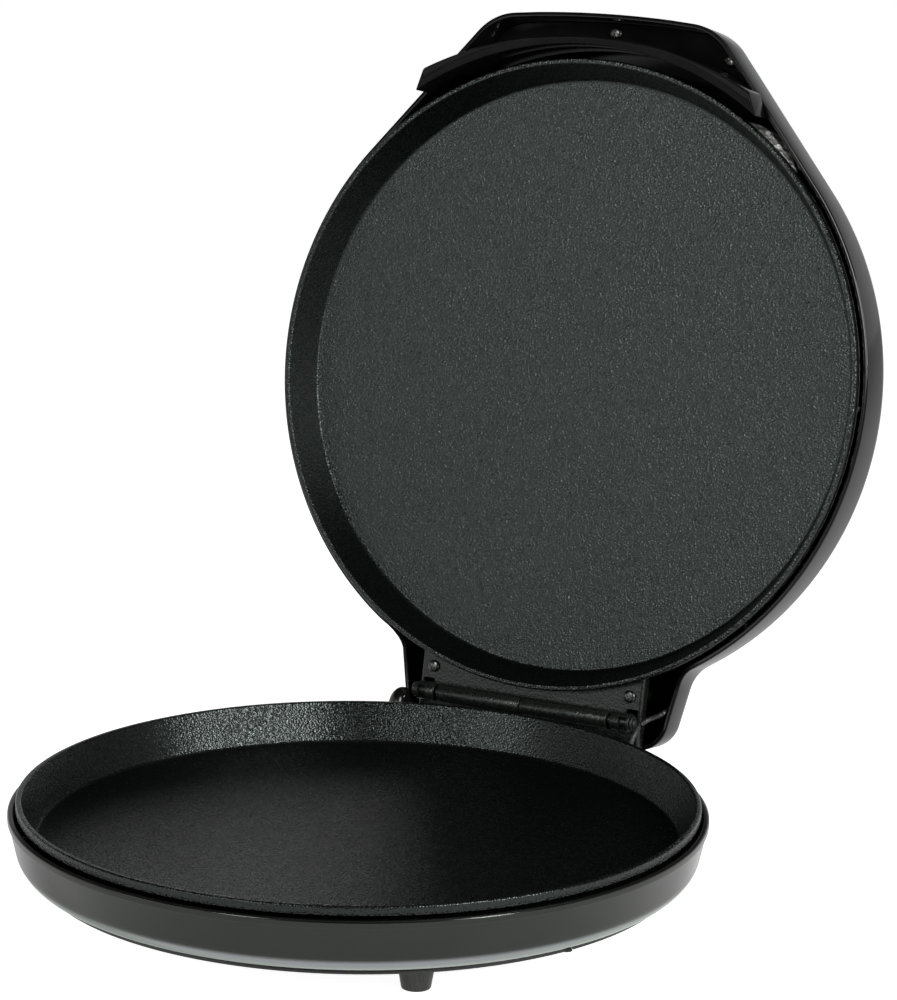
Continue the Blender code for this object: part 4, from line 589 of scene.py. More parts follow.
class Form:
    """The solids of one piece, gathered before they become its mesh."""

    def __init__(self):
        self.bm = bmesh.new()

    def skin(self, rings, wrap=False):
        """Faces through closed rings; a ring of one point is a pole."""
        loops = [[self.bm.verts.new(point) for point in ring] for ring in rings]
        pairs = list(zip(loops, loops[1:]))
        if wrap:
            pairs.append((loops[-1], loops[0]))
        for lower, upper in pairs:
            count = max(len(lower), len(upper))
            for index in range(count):
                after = (index + 1) % count
                corners = []
                for loop, place in ((lower, index), (lower, after), (upper, after), (upper, index)):
                    corner = loop[place % len(loop)]
                    if corner not in corners:
                        corners.append(corner)
                if len(corners) > 2:
                    self.bm.faces.new(corners)
        if not wrap:
            for loop in (loops[0], loops[-1]):
                if len(loop) > 2:
                    self.bm.faces.new(loop)
        return self

    def turned(self, profile, steps=MIDDLE_STEPS, where=None):
        """Revolve (radius, height) points about Z; the profile closes on itself or on the axis."""
        where = where or Matrix.Identity(4)
        rings = []
        for radius, height in profile:
            if radius < WELD:
                rings.append([where @ Vector((0.0, 0.0, height))])
                continue
            ring = []
            for step in range(steps):
                angle = math.tau * step / steps
                ring.append(where @ Vector((radius * math.cos(angle), radius * math.sin(angle), height)))
            rings.append(ring)
        open_ended = profile[0][0] < WELD and profile[-1][0] < WELD
        return self.skin(rings, wrap=not open_ended)

    def prism(self, outline, low, high, edge=0.0, where=None, steps=2):
        """A block with an outline in XY from low to high, its two rims rounded."""
        where = where or Matrix.Identity(4)
        outline = outline if winding(outline) > 0 else list(reversed(outline))
        normals = outward(outline)
        levels = [(low, 0.0), (high, 0.0)]
        if edge > 0.0:
            curve = arc((0.0, 0.0), edge, 90.0, 0.0, steps)
            bottom = [(low + edge - rise, edge - run) for run, rise in curve]
            levels = bottom + [(low + high - level, inset) for level, inset in reversed(bottom)]
        rings = []
        for level, inset in levels:
            ring = []
            for point, normal in zip(outline, normals):
                place = Vector(point) - normal * inset
                ring.append(where @ Vector((place.x, place.y, level)))
            rings.append(ring)
        return self.skin(rings)

    def block(self, size, where=None, edge=0.0):
        """A box centred on its own middle."""
        half_x = size[0] / 2
        half_y = size[1] / 2
        outline = [(-half_x, -half_y), (half_x, -half_y), (half_x, half_y), (-half_x, half_y)]
        if edge > 0.0:
            outline = softened(outline, edge, 2)
        return self.prism(outline, -size[2] / 2, size[2] / 2, edge, where)

    def rod(self, radius, length, where=None, steps=SMALL_STEPS, edge=0.0):
        """A round bar centred on its own middle, along Z."""
        half = length / 2
        profile = softened([(0.0, -half), (radius, -half), (radius, half), (0.0, half)],
                           [0.0, edge, edge, 0.0], 3)
        return self.turned(profile, steps, where)

    def tube(self, path, radius, sides=16):
        """A round bar along a path."""
        points = [Vector(point) for point in path]
        tangents = []
        for index in range(len(points)):
            before = points[max(index - 1, 0)]
            after = points[min(index + 1, len(points) - 1)]
            tangents.append((after - before).normalized())
        across = tangents[0].orthogonal().normalized()
        rings = []
        for index, (point, tangent) in enumerate(zip(points, tangents)):
            across = (across - tangent * across.dot(tangent)).normalized()
            side = tangent.cross(across)
            ring = []
            for step in range(sides):
                angle = math.tau * step / sides
                ring.append(point + (across * math.cos(angle) + side * math.sin(angle)) * radius)
            rings.append(ring)
        return self.skin(rings)

    def mesh(self, name):
        """A closed mesh with outward faces and its sharp edges marked."""
        bmesh.ops.remove_doubles(self.bm, verts=self.bm.verts, dist=WELD)
        bmesh.ops.recalc_face_normals(self.bm, faces=self.bm.faces)
        made = bpy.data.meshes.new(name)
        self.bm.to_mesh(made)
        self.bm.free()
        made.shade_smooth()
        made.set_sharp_from_angle(angle=SMOOTH_ANGLE)
        return made

    def cut(self, tool, operation="DIFFERENCE"):
        """Carve a tool form out of this one, or join it on."""
        body = linked("body", self.mesh("body"))
        knife = linked("knife", tool.mesh("knife"))
        step = body.modifiers.new("cut", "BOOLEAN")
        step.operation = operation
        step.solver = "EXACT"
        step.object = knife
        result = evaluated_mesh(body)
        self.bm = bmesh.new()
        self.bm.from_mesh(result)
        bpy.data.objects.remove(body)
        bpy.data.objects.remove(knife)
        return self

    def joined(self, tool):
        return self.cut(tool, "UNION")


def linked(name, data):
    made = bpy.data.objects.new(name, data)
    bpy.context.scene.collection.objects.link(made)
    return made


def evaluated_mesh(thing):
    """The plain mesh of an object with its modifiers."""
    graph = bpy.context.evaluated_depsgraph_get()
    return bpy.data.meshes.new_from_object(thing.evaluated_get(graph))


def finish_piece(form, name, body, look, nodes, moved=None):
    """Make a form one shown piece of a body, in the place of its CAD nodes."""
    mesh = form.mesh(name)
    mesh.transform(body_matrix(body) @ (moved or Matrix.Identity(4)))
    mesh.materials.append(look)
    piece = linked(name, mesh)
    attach(piece, body)
    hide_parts(*nodes)
    return piece


def copying_tree():
    """Node tree that sets a copy of a shape on each vertex, turned by the vertex's own angles."""
    found = bpy.data.node_groups.get("set_copies")
    if found:
        return found
    tree = bpy.data.node_groups.new("set_copies", "GeometryNodeTree")
    face = tree.interface
    face.new_socket("Places", in_out="INPUT", socket_type="NodeSocketGeometry")
    face.new_socket("Shape", in_out="INPUT", socket_type="NodeSocketObject")
    face.new_socket("Size", in_out="INPUT", socket_type="NodeSocketFloat")
    face.new_socket("Finish", in_out="INPUT", socket_type="NodeSocketMaterial")
    face.new_socket("Copies", in_out="OUTPUT", socket_type="NodeSocketGeometry")
    come = tree.nodes.new("NodeGroupInput")
    go = tree.nodes.new("NodeGroupOutput")
    turn = tree.nodes.new("GeometryNodeInputNamedAttribute")
    turn.data_type = "FLOAT_VECTOR"
    turn.inputs["Name"].default_value = "turn"
    shape = tree.nodes.new("GeometryNodeObjectInfo")
    copy = tree.nodes.new("GeometryNodeInstanceOnPoints")
    real = tree.nodes.new("GeometryNodeRealizeInstances")
    paint = tree.nodes.new("GeometryNodeSetMaterial")
    join = tree.links.new
    join(come.outputs["Places"], copy.inputs["Points"])
    join(come.outputs["Shape"], shape.inputs["Object"])
    join(shape.outputs["Geometry"], copy.inputs["Instance"])
    join(turn.outputs["Attribute"], copy.inputs["Rotation"])
    join(come.outputs["Size"], copy.inputs["Scale"])
    join(copy.outputs["Instances"], real.inputs["Geometry"])
    join(real.outputs["Geometry"], paint.inputs["Geometry"])
    join(come.outputs["Finish"], paint.inputs["Material"])
    join(paint.outputs["Geometry"], go.inputs["Copies"])
    return tree


def copies(form, places, look):
    """One form set at many (place, turn) pairs by the node tree, as a new form."""
    points = bpy.data.meshes.new("places")
    points.from_pydata([place for place, _ in places], [], [])
    turns = points.attributes.new("turn", "FLOAT_VECTOR", "POINT")
    for item, (_, turn) in zip(turns.data, places):
        item.vector = turn
    shape = linked("shape", form.mesh("shape"))
    carrier = linked("copies", points)
    step = carrier.modifiers.new("copies", "NODES")
    step.node_group = copying_tree()
    wanted = {"Shape": shape, "Size": 1.0, "Finish": look}
    for socket in step.node_group.interface.items_tree:
        if socket.in_out == "INPUT" and socket.name in wanted:
            step[socket.identifier] = wanted[socket.name]
    made = Form()
    made.bm.from_mesh(evaluated_mesh(carrier))
    bpy.data.objects.remove(carrier)
    bpy.data.objects.remove(shape)
    return made


def finish_copies(form, spots, name, body, look, nodes):
    """Copies of a form at (x, y, z, turn about Z) spots, as one shown piece."""
    places = [((x, y, z), (0.0, 0.0, turn)) for x, y, z, turn in spots]
    finish_piece(copies(form, places, look), name, body, look, nodes)


def tinted(colour, share):
    return (*[channel * share for channel in colour], 1.0)


def ranged(tree, source, given, wanted, smooth=True):
    """A node that carries a value from one range to another, each a start and an end."""
    node = tree.nodes.new("ShaderNodeMapRange")
    if smooth:
        node.interpolation_type = "SMOOTHSTEP"
    for name, value in zip(("From Min", "From Max", "To Min", "To Max"), (*given, *wanted)):
        node.inputs[name].default_value = value
    tree.links.new(source, node.inputs["Value"])
    return node.outputs["Result"]


def computed(tree, operation, *terms):
    """Result of a maths node whose terms are sockets or numbers."""
    node = tree.nodes.new("ShaderNodeMath")
    node.operation = operation
    for term, socket in zip(terms, node.inputs):
        if isinstance(term, bpy.types.NodeSocket):
            tree.links.new(term, socket)
        else:
            socket.default_value = term
    return node.outputs["Value"]


def on_axis(tree, place, axis):
    """One coordinate of a place."""
    split = tree.nodes.new("ShaderNodeSeparateXYZ")
    tree.links.new(place, split.inputs[0])
    return split.outputs[axis]


class Look:
    """A procedural finish on Object coordinates, built round one Principled shader."""

    def __init__(self, name, metallic=0.0, coat=0.0):
        self.made = bpy.data.materials.new(name)
        self.made.use_nodes = True
        self.tree = self.made.node_tree
        self.shader = self.tree.nodes["Principled BSDF"]
        self.shader.inputs["Metallic"].default_value = metallic
        self.shader.inputs["Coat Weight"].default_value = coat
        self.place = self.tree.nodes.new("ShaderNodeTexCoord").outputs["Object"]
        self.normal = None

    def noise(self, size, detail=3.0, stretch=(1.0, 1.0, 1.0)):
        """Cloudy pattern with features of about this size."""
        turn = self.tree.nodes.new("ShaderNodeMapping")
        turn.inputs["Scale"].default_value = stretch
        pattern = self.tree.nodes.new("ShaderNodeTexNoise")
        pattern.inputs["Scale"].default_value = 1.0 / size
        pattern.inputs["Detail"].default_value = detail
        self.tree.links.new(self.place, turn.inputs["Vector"])
        self.tree.links.new(turn.outputs["Vector"], pattern.inputs["Vector"])
        return pattern.outputs["Fac"]

    def cells(self, size):
        """Cell pattern with cells of about this size."""
        pattern = self.tree.nodes.new("ShaderNodeTexVoronoi")
        pattern.inputs["Scale"].default_value = 1.0 / size
        self.tree.links.new(self.place, pattern.inputs["Vector"])
        return pattern.outputs["Distance"]

    def colour(self, pattern, base, spread):
        """Base colour that varies by a share either way with a pattern."""
        ramp = self.tree.nodes.new("ShaderNodeValToRGB")
        ends = ramp.color_ramp.elements
        for element, position, share in zip(ends, COLOUR_SPAN, (1.0 - spread, 1.0 + spread)):
            element.position = position
            element.color = tinted(base, share)
        self.tree.links.new(pattern, ramp.inputs["Fac"])
        self.tree.links.new(ramp.outputs["Color"], self.shader.inputs["Base Color"])

    def gloss(self, level, tint=(1.0, 1.0, 1.0)):
        """Strength and tint of the reflection."""
        self.shader.inputs["Specular IOR Level"].default_value = level
        self.shader.inputs["Specular Tint"].default_value = (*tint, 1.0)

    def roughness(self, pattern, low, high):
        """Roughness between two values, by a pattern."""
        spread = ranged(self.tree, pattern, ROUGHNESS_SPAN, (low, high), smooth=False)
        self.tree.links.new(spread, self.shader.inputs["Roughness"])

    def below(self, axis, full, none):
        """One under a place on an axis of the row frame, nothing over another."""
        return ranged(self.tree, on_axis(self.tree, self.place, axis), (full, none), (1.0, 0.0))

    def metal(self, share, colour):
        """Bare metal of a colour where the share is one."""
        base = self.shader.inputs["Base Color"]
        mix = self.tree.nodes.new("ShaderNodeMixRGB")
        mix.inputs["Color2"].default_value = (*colour, 1.0)
        self.tree.links.new(share, mix.inputs["Fac"])
        self.tree.links.new(base.links[0].from_socket, mix.inputs["Color1"])
        self.tree.links.new(mix.outputs["Color"], base)
        self.tree.links.new(share, self.shader.inputs["Metallic"])

    def relief(self, pattern, depth):
        """Surface relief of a real depth; a second call adds to the first."""
        bump = self.tree.nodes.new("ShaderNodeBump")
        bump.inputs["Distance"].default_value = depth
        self.tree.links.new(pattern, bump.inputs["Height"])
        if self.normal:
            self.tree.links.new(self.normal, bump.inputs["Normal"])
        self.normal = bump.outputs["Normal"]
        self.tree.links.new(self.normal, self.shader.inputs["Normal"])

    def skin(self, grain, detail, stretch=(1.0, 1.0, 1.0)):
        """Relief of cloudy noise from its (size, depth); gives the noise for further use."""
        size, depth = grain
        pattern = self.noise(size, detail, stretch)
        self.relief(pattern, depth)
        return pattern

    def cell_skin(self, grain):
        """Relief of cells from their (size, depth); gives the cells for further use."""
        size, depth = grain
        pattern = self.cells(size)
        self.relief(pattern, depth)
        return pattern


def painted(name, paint, **start):
    """The material of this name, painted the first time it is asked for."""
    found = bpy.data.materials.get(name)
    if found:
        return found
    look = Look(name, **start)
    paint(look)
    return look.made


def finish(name, **start):
    """Turns a function that paints a look into one that gives its material."""
    def wrap(paint):
        return lambda: painted(name, paint, **start)
    return wrap


@finish("plate_coating_look")
def coating(look):
    """Satin non-stick coating with a fine orange peel."""
    values = finishes()
    grain = look.cell_skin((values.coating_grain, values.coating_relief))
    look.colour(grain, values.coating, 0.30)
    look.gloss(0.42, (0.88, 1.0, 0.95))
    look.roughness(look.noise(values.coating_grain, 1.0), 0.17, 0.35)
    look.skin(COATING_WAVE, 3.0)


@finish("hinge_coating_look")
def hinge_coating(look):
    """The same coating on cast hinge parts, with a coarser skin."""
    grain = look.skin(HINGE_GRAIN, 1.0)
    look.colour(grain, (0.007, 0.008, 0.007), 0.35)
    look.gloss(0.42, (0.90, 1.0, 0.95))
    look.roughness(grain, 0.24, 0.40)


@finish("gloss_black_look")
def gloss_black(look):
    """Glossy moulded plastic with a little handling haze."""
    look.colour(look.noise(MOULD_CLOUD), finishes().gloss, 0.25)
    look.gloss(0.28)
    look.roughness(look.noise(MOULD_HAZE, 5.0), 0.07, 0.15)
    look.skin(MOULD_WAVE, 1.0)
    look.skin(MOULD_GRAIN, 2.0)


@finish("grip_black_look")
def grip_black(look):
    """Deep black of the grip, smoother and less reflective than the shell."""
    look.colour(look.noise(MOULD_CLOUD), finishes().gloss, 0.25)
    look.gloss(0.08)
    look.roughness(look.noise(GRIP_HAZE, 5.0), 0.10, 0.18)
    look.skin(MOULD_GRAIN, 2.0)


@finish("dark_band_look")
def band_plastic(look):
    """Glossy dark finish of the base, a shade warmer than the lid, with a bright lower edge."""
    look.colour(look.noise(BAND_CLOUD), finishes().band, 0.20)
    look.gloss(0.42, (0.93, 1.0, 0.91))
    look.roughness(look.noise(BAND_HAZE, 5.0), 0.12, 0.20)
    look.skin(BAND_WAVE, 1.0)
    look.skin(BAND_GRAIN, 2.0)
    edge = look.below("Z", EDGE_BRIGHT_FOOT, EDGE_BRIGHT_TOP)
    ring = look.below("Y", EDGE_BRIGHT_REAR - OVERRUN, EDGE_BRIGHT_REAR)
    look.metal(computed(look.tree, "MULTIPLY", edge, ring), (0.25, 0.26, 0.27))


@finish("foot_look")
def foot_plastic(look):
    """Gloss black with the faint upright flow lines of a turned mould."""
    streaks = look.skin(FOOT_STREAK, 2.0, (1.0, 1.0, 0.06))
    look.colour(streaks, (0.022, 0.021, 0.020), 0.35)
    look.roughness(streaks, 0.22, 0.36)


@finish("bare_steel_look", metallic=1.0)
def bare_steel(look):
    """Lightly brushed steel."""
    lines = look.skin(STEEL_LINE, 3.0, (1.0, 0.12, 1.0))
    look.colour(lines, finishes().steel, 0.12)
    look.roughness(look.noise(STEEL_HAZE, 4.0), 0.24, 0.40)


@finish("black_steel_look", metallic=0.2)
def black_steel(look):
    """Painted sheet with a fine powder texture."""
    look.colour(look.skin(PAINT_GRAIN, 3.0), (0.020, 0.020, 0.020), 0.30)
    look.roughness(look.noise(PAINT_HAZE, 4.0), 0.38, 0.52)


@finish("dark_zinc_look", metallic=1.0)
def dark_zinc(look):
    """Blackened zinc plating of the screws that show."""
    grain = look.skin(ZINC_GRAIN, 3.0)
    look.colour(grain, (0.10, 0.10, 0.097), 0.25)
    look.roughness(grain, 0.20, 0.34)


@finish("aluminised_look", metallic=1.0)
def bright_sheet(look):
    """Aluminised sheet with its spangle and a few rolling lines."""
    look.colour(look.cells(SHEET_SPANGLE), (0.68, 0.68, 0.67), 0.08)
    look.roughness(look.noise(SHEET_LINE, 3.0, (0.1, 1.0, 1.0)), 0.26, 0.42)
    look.skin(SHEET_WAVE, 3.0)


@finish("foil_look", metallic=1.0)
def foil_look(look):
    """Crumpled insulating foil."""
    look.colour(look.noise(FOIL_CLOUD), (0.86, 0.86, 0.85), 0.06)
    look.roughness(look.noise(FOIL_HAZE), 0.28, 0.44)
    look.cell_skin(FOIL_FOLD)
    look.skin(FOIL_WRINKLE, 2.0)


@finish("rubber_look")
def rubber(look):
    """Matt black rubber with a dusty bloom."""
    look.colour(look.noise(RUBBER_DUST, 4.0), (0.018, 0.018, 0.018), 0.35)
    look.roughness(look.skin(RUBBER_GRAIN, 4.0), 0.65, 0.85)


@finish("ceramic_look")
def ceramic(look):
    """Unglazed off-white ceramic."""
    look.colour(look.noise(CERAMIC_CLOUD, 4.0), (0.68, 0.66, 0.61), 0.08)
    look.roughness(look.skin(CERAMIC_GRAIN, 4.0), 0.50, 0.70)


@finish("sleeve_look")
def sleeve(look):
    """Woven black sleeve of the lead."""
    look.colour(look.cell_skin(SLEEVE_WEAVE), (0.016, 0.016, 0.016), 0.45)
    look.roughness(look.noise(SLEEVE_HAZE), 0.32, 0.50)


def lens_look(name, colour):
    """Moulded lamp lens with a pebbled inside."""
    def paint(look):
        look.colour(look.cell_skin(LENS_PEBBLE), colour, 0.30)
        look.roughness(look.noise(LENS_HAZE, 2.0), 0.10, 0.20)
    return painted(name, paint, coat=0.6)


def plate_outer(drop):
    """Outer radius of a plate's sloping wall at a depth below its rim."""
    values = sizes()
    rim_inner = values.plate_radius - values.rim_width
    slope = (rim_inner - values.floor_radius) / values.plate_depth
    return rim_inner + PLATE_WALL - slope * drop


def plate_section(floor):
    """Dish section with rounded rim and corners, and a boss with a blind bore under it."""
    values = sizes()
    rim_inner = values.plate_radius - values.rim_width
    underside = -values.plate_depth - floor
    boss_end = underside - BOSS_LENGTH
    corners = [
        ((0.0, -values.plate_depth), 0.0),
        ((values.floor_radius, -values.plate_depth), FLOOR_CORNER),
        ((rim_inner, 0.0), RIM_ROUND),
        ((values.plate_radius, 0.0), RIM_ROUND),
        ((values.plate_radius, -BAND_HEIGHT), RIM_ROUND / 2),
        ((plate_outer(BAND_HEIGHT), -BAND_HEIGHT), RIM_ROUND / 3),
        ((plate_outer(values.plate_depth), -values.plate_depth), PLATE_CORNER),
        ((plate_outer(values.plate_depth) - PLATE_CORNER, underside), PLATE_CORNER),
        ((BOSS_RADIUS, underside), RIM_ROUND / 2),
        ((BOSS_RADIUS, boss_end), RIM_ROUND / 2),
        ((BOSS_BORE, boss_end), 0.0),
        ((BOSS_BORE, boss_end + BORE_DEPTH), 0.0),
        ((0.0, boss_end + BORE_DEPTH), 0.0),
    ]
    return rounded(corners, 6)


def flipped(profile):
    """A base profile turned upside down for the lid, with the closing clearance."""
    return [(radius, RIM_CLEARANCE - height) for radius, height in reversed(profile)]


def build_plates():
    lower = Form().turned(plate_section(LOWER_FLOOR), ROUND_STEPS)
    finish_piece(lower, "lower_plate", "base", coating(), ["lower_cooking_plate"])
    upper = Form().turned(flipped(plate_section(UPPER_FLOOR)), ROUND_STEPS)
    finish_piece(upper, "upper_plate", "lid", coating(), ["upper_cooking_plate"])


def housing_bottom():
    """Height of the base housing's lower face under the rim plane."""
    return -EDGE_DROP - EDGE_ROUND


def housing_section():
    """Section of the base ring: lip, ledge, drafted wall, rounded edge and bottom flange."""
    lip_radius = sizes().lip_radius
    lip_foot = -LIP_DROP - LIP_HEIGHT
    ledge = lip_foot + HOUSING_WALL / 2
    bottom = housing_bottom()
    centre = Vector((HOUSING_FOOT - EDGE_ROUND, -EDGE_DROP))
    reach = Vector((HOUSING_TOP, lip_foot)) - centre
    touch = math.degrees(math.atan2(reach.y, reach.x) - math.acos(EDGE_ROUND / reach.length))
    edge = arc(centre, EDGE_ROUND, touch, -90.0, 14)
    inner = arc(centre, EDGE_ROUND - HOUSING_WALL, -90.0, touch, 8)
    lip = softened([
        (HOUSING_TOP - HOUSING_WALL, ledge), (lip_radius - LIP_WIDTH, ledge),
        (lip_radius - LIP_WIDTH, -LIP_DROP), (lip_radius, -LIP_DROP), (lip_radius, lip_foot),
        (HOUSING_TOP, lip_foot), edge[0]],
        [0.0, 0.0, *LIP_FILLETS, FILLET_BROAD, FILLET_PLAIN, 0.0], 4)
    flange = [(FLANGE_RADIUS, bottom), (FLANGE_RADIUS, bottom + HOUSING_WALL)]
    return lip[:-1] + edge + flange + inner


def rib_section():
    """Section of a locating rib: it stands off the plate's wall and carries its floor."""
    depth = sizes().plate_depth
    top = -LIP_DROP - LIP_HEIGHT
    seat = -depth - LOWER_FLOOR - GAP
    buried = HOUSING_WALL / 2
    inner = plate_outer(depth)
    points = [
        (HOUSING_TOP - buried, top), (plate_outer(-top) + GAP, top), (inner + GAP, -depth),
        (inner, seat), (inner - RIB_LEDGE, seat), (inner - RIB_LEDGE, housing_bottom() + buried)]
    return points + arc((HOUSING_FOOT - EDGE_ROUND, -EDGE_DROP), EDGE_ROUND - buried, -90.0, 0.0, 6)


def upright():
    """Stands an outline drawn as (outwards, up) up on its edge."""
    return Matrix.Rotation(math.pi / 2, 4, "X")


def rib_form(section):
    """A rib that stands out along X."""
    return Form().prism(section, -RIB_THICKNESS / 2, RIB_THICKNESS / 2, FILLET_FINE, upright())


def round_spots(angles):
    """Spots in the middle, turned from +X to each angle on the ring."""
    return [(0.0, 0.0, 0.0, math.radians(angle - 90.0)) for angle in angles]


def shelf_rear(inset, steps):
    """The two rounded rear corners of the hinge shelf's plan, from right to left."""
    corner = SHELF_CORNER - inset
    centre = (SHELF_HALF - inset - corner, SHELF_REACH - inset - corner)
    right = arc(centre, corner, 0.0, 90.0, steps)
    return right + mirrored(right)


def shelf_outline(inset, front_radius):
    """Plan of the hinge shelf: rounded rear corners, and a front that follows the ring."""
    edge = math.degrees(math.asin((SHELF_HALF - inset) / front_radius))
    return shelf_rear(inset, 12) + arc((0.0, 0.0), front_radius, 90.0 + edge, 90.0 - edge, 32)


def shelf_form():
    """The solid shelf, its rear edges rounded, before it is hollowed."""
    edge = SHELF_EDGE
    bottom = housing_bottom() + SHELF_LIFT
    bevel = edge * BEVEL_SHARE
    levels = [(bottom, SHELF_FRONT_FOOT, edge), (bottom + bevel, SHELF_FRONT_FOOT, bevel),
              (bottom + edge, SHELF_FRONT_FOOT, 0.0), (-SHELF_DROP - edge, SHELF_FRONT_TOP, 0.0),
              (-SHELF_DROP - bevel, SHELF_FRONT_TOP, bevel), (-SHELF_DROP, SHELF_FRONT_TOP, edge)]
    rings = []
    for level, front, inset in levels:
        rings.append([(x, y, level) for x, y in shelf_outline(inset, front)])
    return Form().skin(rings)


def ear_form():
    """An upright ellipsoid with a flat inner face, rounded into its sides."""
    profile = [(abs(x), y) for x, y in arc((0.0, 0.0), 1.0, -90.0, 90.0, 24)]
    form = Form().turned(profile, SMALL_STEPS)
    limit = -EAR_INNER - EAR_CENTRE[0]
    for vertex in form.bm.verts:
        vertex.co = [place * radius for place, radius in zip(vertex.co, EAR_RADII)]
        vertex.co.x = min(vertex.co.x, limit)
        vertex.co += Vector(EAR_CENTRE)
    return form


def bracket_screw_places():
    """Where the two bracket screws stand on the shelf."""
    places = []
    for share in BRACKET_SCREW_SHARES:
        across = -KNUCKLE_SPLIT - (KNUCKLE_END - KNUCKLE_SPLIT) * share
        places.append((across, HINGE_REACH - BRACKET_SCREW_OFFSET))
    return places


def gland_height():
    """The cord gland sits halfway up the shelf's rear wall."""
    return (housing_bottom() - SHELF_DROP - HOUSING_WALL) / 2


def build_housing():
    look = band_plastic()
    housing = Form().turned(housing_section(), ROUND_STEPS)
    housing.joined(shelf_form())
    cavity = Form().prism(shelf_outline(HOUSING_WALL, FLANGE_RADIUS - OVERRUN),
                          housing_bottom() - OVERRUN, -SHELF_DROP - HOUSING_WALL)
    housing.cut(cavity)
    holes = Form()
    deck = -SHELF_DROP - HOUSING_WALL / 2
    for x, y in bracket_screw_places():
        holes.rod(SCREW_HOLE, 2 * HOUSING_WALL, at(x, y, deck))
    holes.rod(LEAD_RADIUS + 3 * GAP + GROMMET_FLANGE, 2 * HOUSING_WALL, at(*LEAD_PLACE, deck))
    back = at(GLAND_PLACE_X, SHELF_REACH - HOUSING_WALL / 2, gland_height())
    holes.rod(GLAND_NECK + GAP, 2 * HOUSING_WALL, back @ upright())
    housing.cut(holes)
    ear = ear_form()
    housing.joined(ear)
    radius, height = COVER_BOSS
    for angle in COVER_SCREW_ANGLES:
        x, y = ring_place(COVER_SCREW_RING, angle)
        section = [(SCREW_HOLE, 0.0), (radius, 0.0), (radius, height), (0.0, height), (0.0, height / 2),
                   (SCREW_HOLE, height / 2)]
        housing.turned(section, 32, at(x, y, housing_bottom() + COVER_BOSS_LIFT))
    finish_piece(housing, "base_housing_shell", "base", look, ["base_housing"])
    finish_copies(rib_form(rib_section()), round_spots(RIB_ANGLES), "base_housing_ribs", "base", look,
                  ["base_housing"])


def cover_outline():
    """Plan of the bottom cover: a disc with a tab under the hinge shelf."""
    start = math.degrees(math.asin((SHELF_HALF - COVER_INSET) / COVER_RADIUS))
    disc = arc((0.0, 0.0), COVER_RADIUS, 90.0 + start, 450.0 - start, 200)
    return disc + shelf_rear(COVER_INSET, 10)


def cover_top():
    return housing_bottom() - GAP


def build_cover():
    top = cover_top()
    middle = top - COVER_THICKNESS / 2
    cover = Form().prism(cover_outline(), top - COVER_THICKNESS, top, FILLET_PLAIN)
    holes = Form()
    length, width = VENT_SIZE
    slot = softened([(-length / 2, -width / 2), (length / 2, -width / 2), (length / 2, width / 2),
                     (-length / 2, width / 2)], width * VENT_END_SHARE, 6)
    for row in range(VENT_ROWS):
        shift = (row - (VENT_ROWS - 1) / 2) * VENT_PITCH
        holes.prism([(x, y + shift) for x, y in slot], middle - OVERRUN, middle + OVERRUN)
    for angle in FOOT_ANGLES:
        holes.rod(FOOT_NECK + GAP, 2 * OVERRUN, at(*ring_place(sizes().foot_ring, angle), middle))
    wide = COVER_SCREW_HEAD + 2 * GAP
    sink = [(0.0, 2 * OVERRUN), (SCREW_HOLE, 2 * OVERRUN), (SCREW_HOLE, COVER_SCREW_SINK), (wide, 0.0),
            (wide, -OVERRUN), (0.0, -OVERRUN)]
    for angle in COVER_SCREW_ANGLES:
        place = at(*ring_place(COVER_SCREW_RING, angle), top - COVER_THICKNESS)
        holes.turned(sink, SMALL_STEPS, place)
    cover.cut(holes)
    finish_piece(cover, "underside_cover", "base", black_steel(), ["bottom_cover"])


def build_feet():
    values = sizes()
    top = cover_top() - COVER_THICKNESS - GAP
    collar = cover_top() + GAP
    floor = -values.stand_height
    head_radius, head_height = FOOT_HEAD
    corners = [
        ((0.0, collar + head_height), 0.0), ((FOOT_NECK, collar + head_height), FILLET_SMALL),
        ((head_radius, collar + head_height / 3), FILLET_SMALL), ((head_radius, collar), 0.0),
        ((FOOT_NECK, collar), 0.0), ((FOOT_NECK, top), 0.0), ((values.foot_top, top), FILLET_MEDIUM),
        ((values.foot_bottom, floor + FOOT_SHORT), FILLET_BROAD),
        ((PAD_RADIUS + GAP, floor + FOOT_SHORT), FILLET_FINE),
        ((PAD_RADIUS + GAP, floor + PAD_THICKNESS + GAP), 0.0), ((0.0, floor + PAD_THICKNESS + GAP), 0.0)]
    section = rounded(corners, 4)
    spots = [(*ring_place(values.foot_ring, angle), 0.0, 0.0) for angle in FOOT_ANGLES]
    finish_copies(Form().turned(section, 64), spots, "feet", "base", foot_plastic(),
                  ["foot_" + name for name in FOOT_NAMES])
    pad = softened([(0.0, floor), (PAD_RADIUS, floor), (PAD_RADIUS, floor + PAD_THICKNESS),
                    (0.0, floor + PAD_THICKNESS)], [0.0, FILLET_MEDIUM, FILLET_SMALL, 0.0], 3)
    finish_copies(Form().turned(pad, SMALL_STEPS), spots, "foot_pads", "base", rubber(),
                  ["foot_pad_" + name for name in FOOT_NAMES])


def thread(length, start):
    """Section of a threaded shank that runs up from a height to its blunt tip."""
    rows = []
    for index in range(int((length - start) / THREAD_PITCH) - 1):
        level = start + THREAD_PITCH * (index + 0.5)
        rows += [(SCREW_RADIUS * THREAD_CORE_SHARE, level), (SCREW_RADIUS, level + THREAD_PITCH / 2)]
    return rows + [(SCREW_RADIUS * THREAD_TIP_SHARE, length), (0.0, length)]


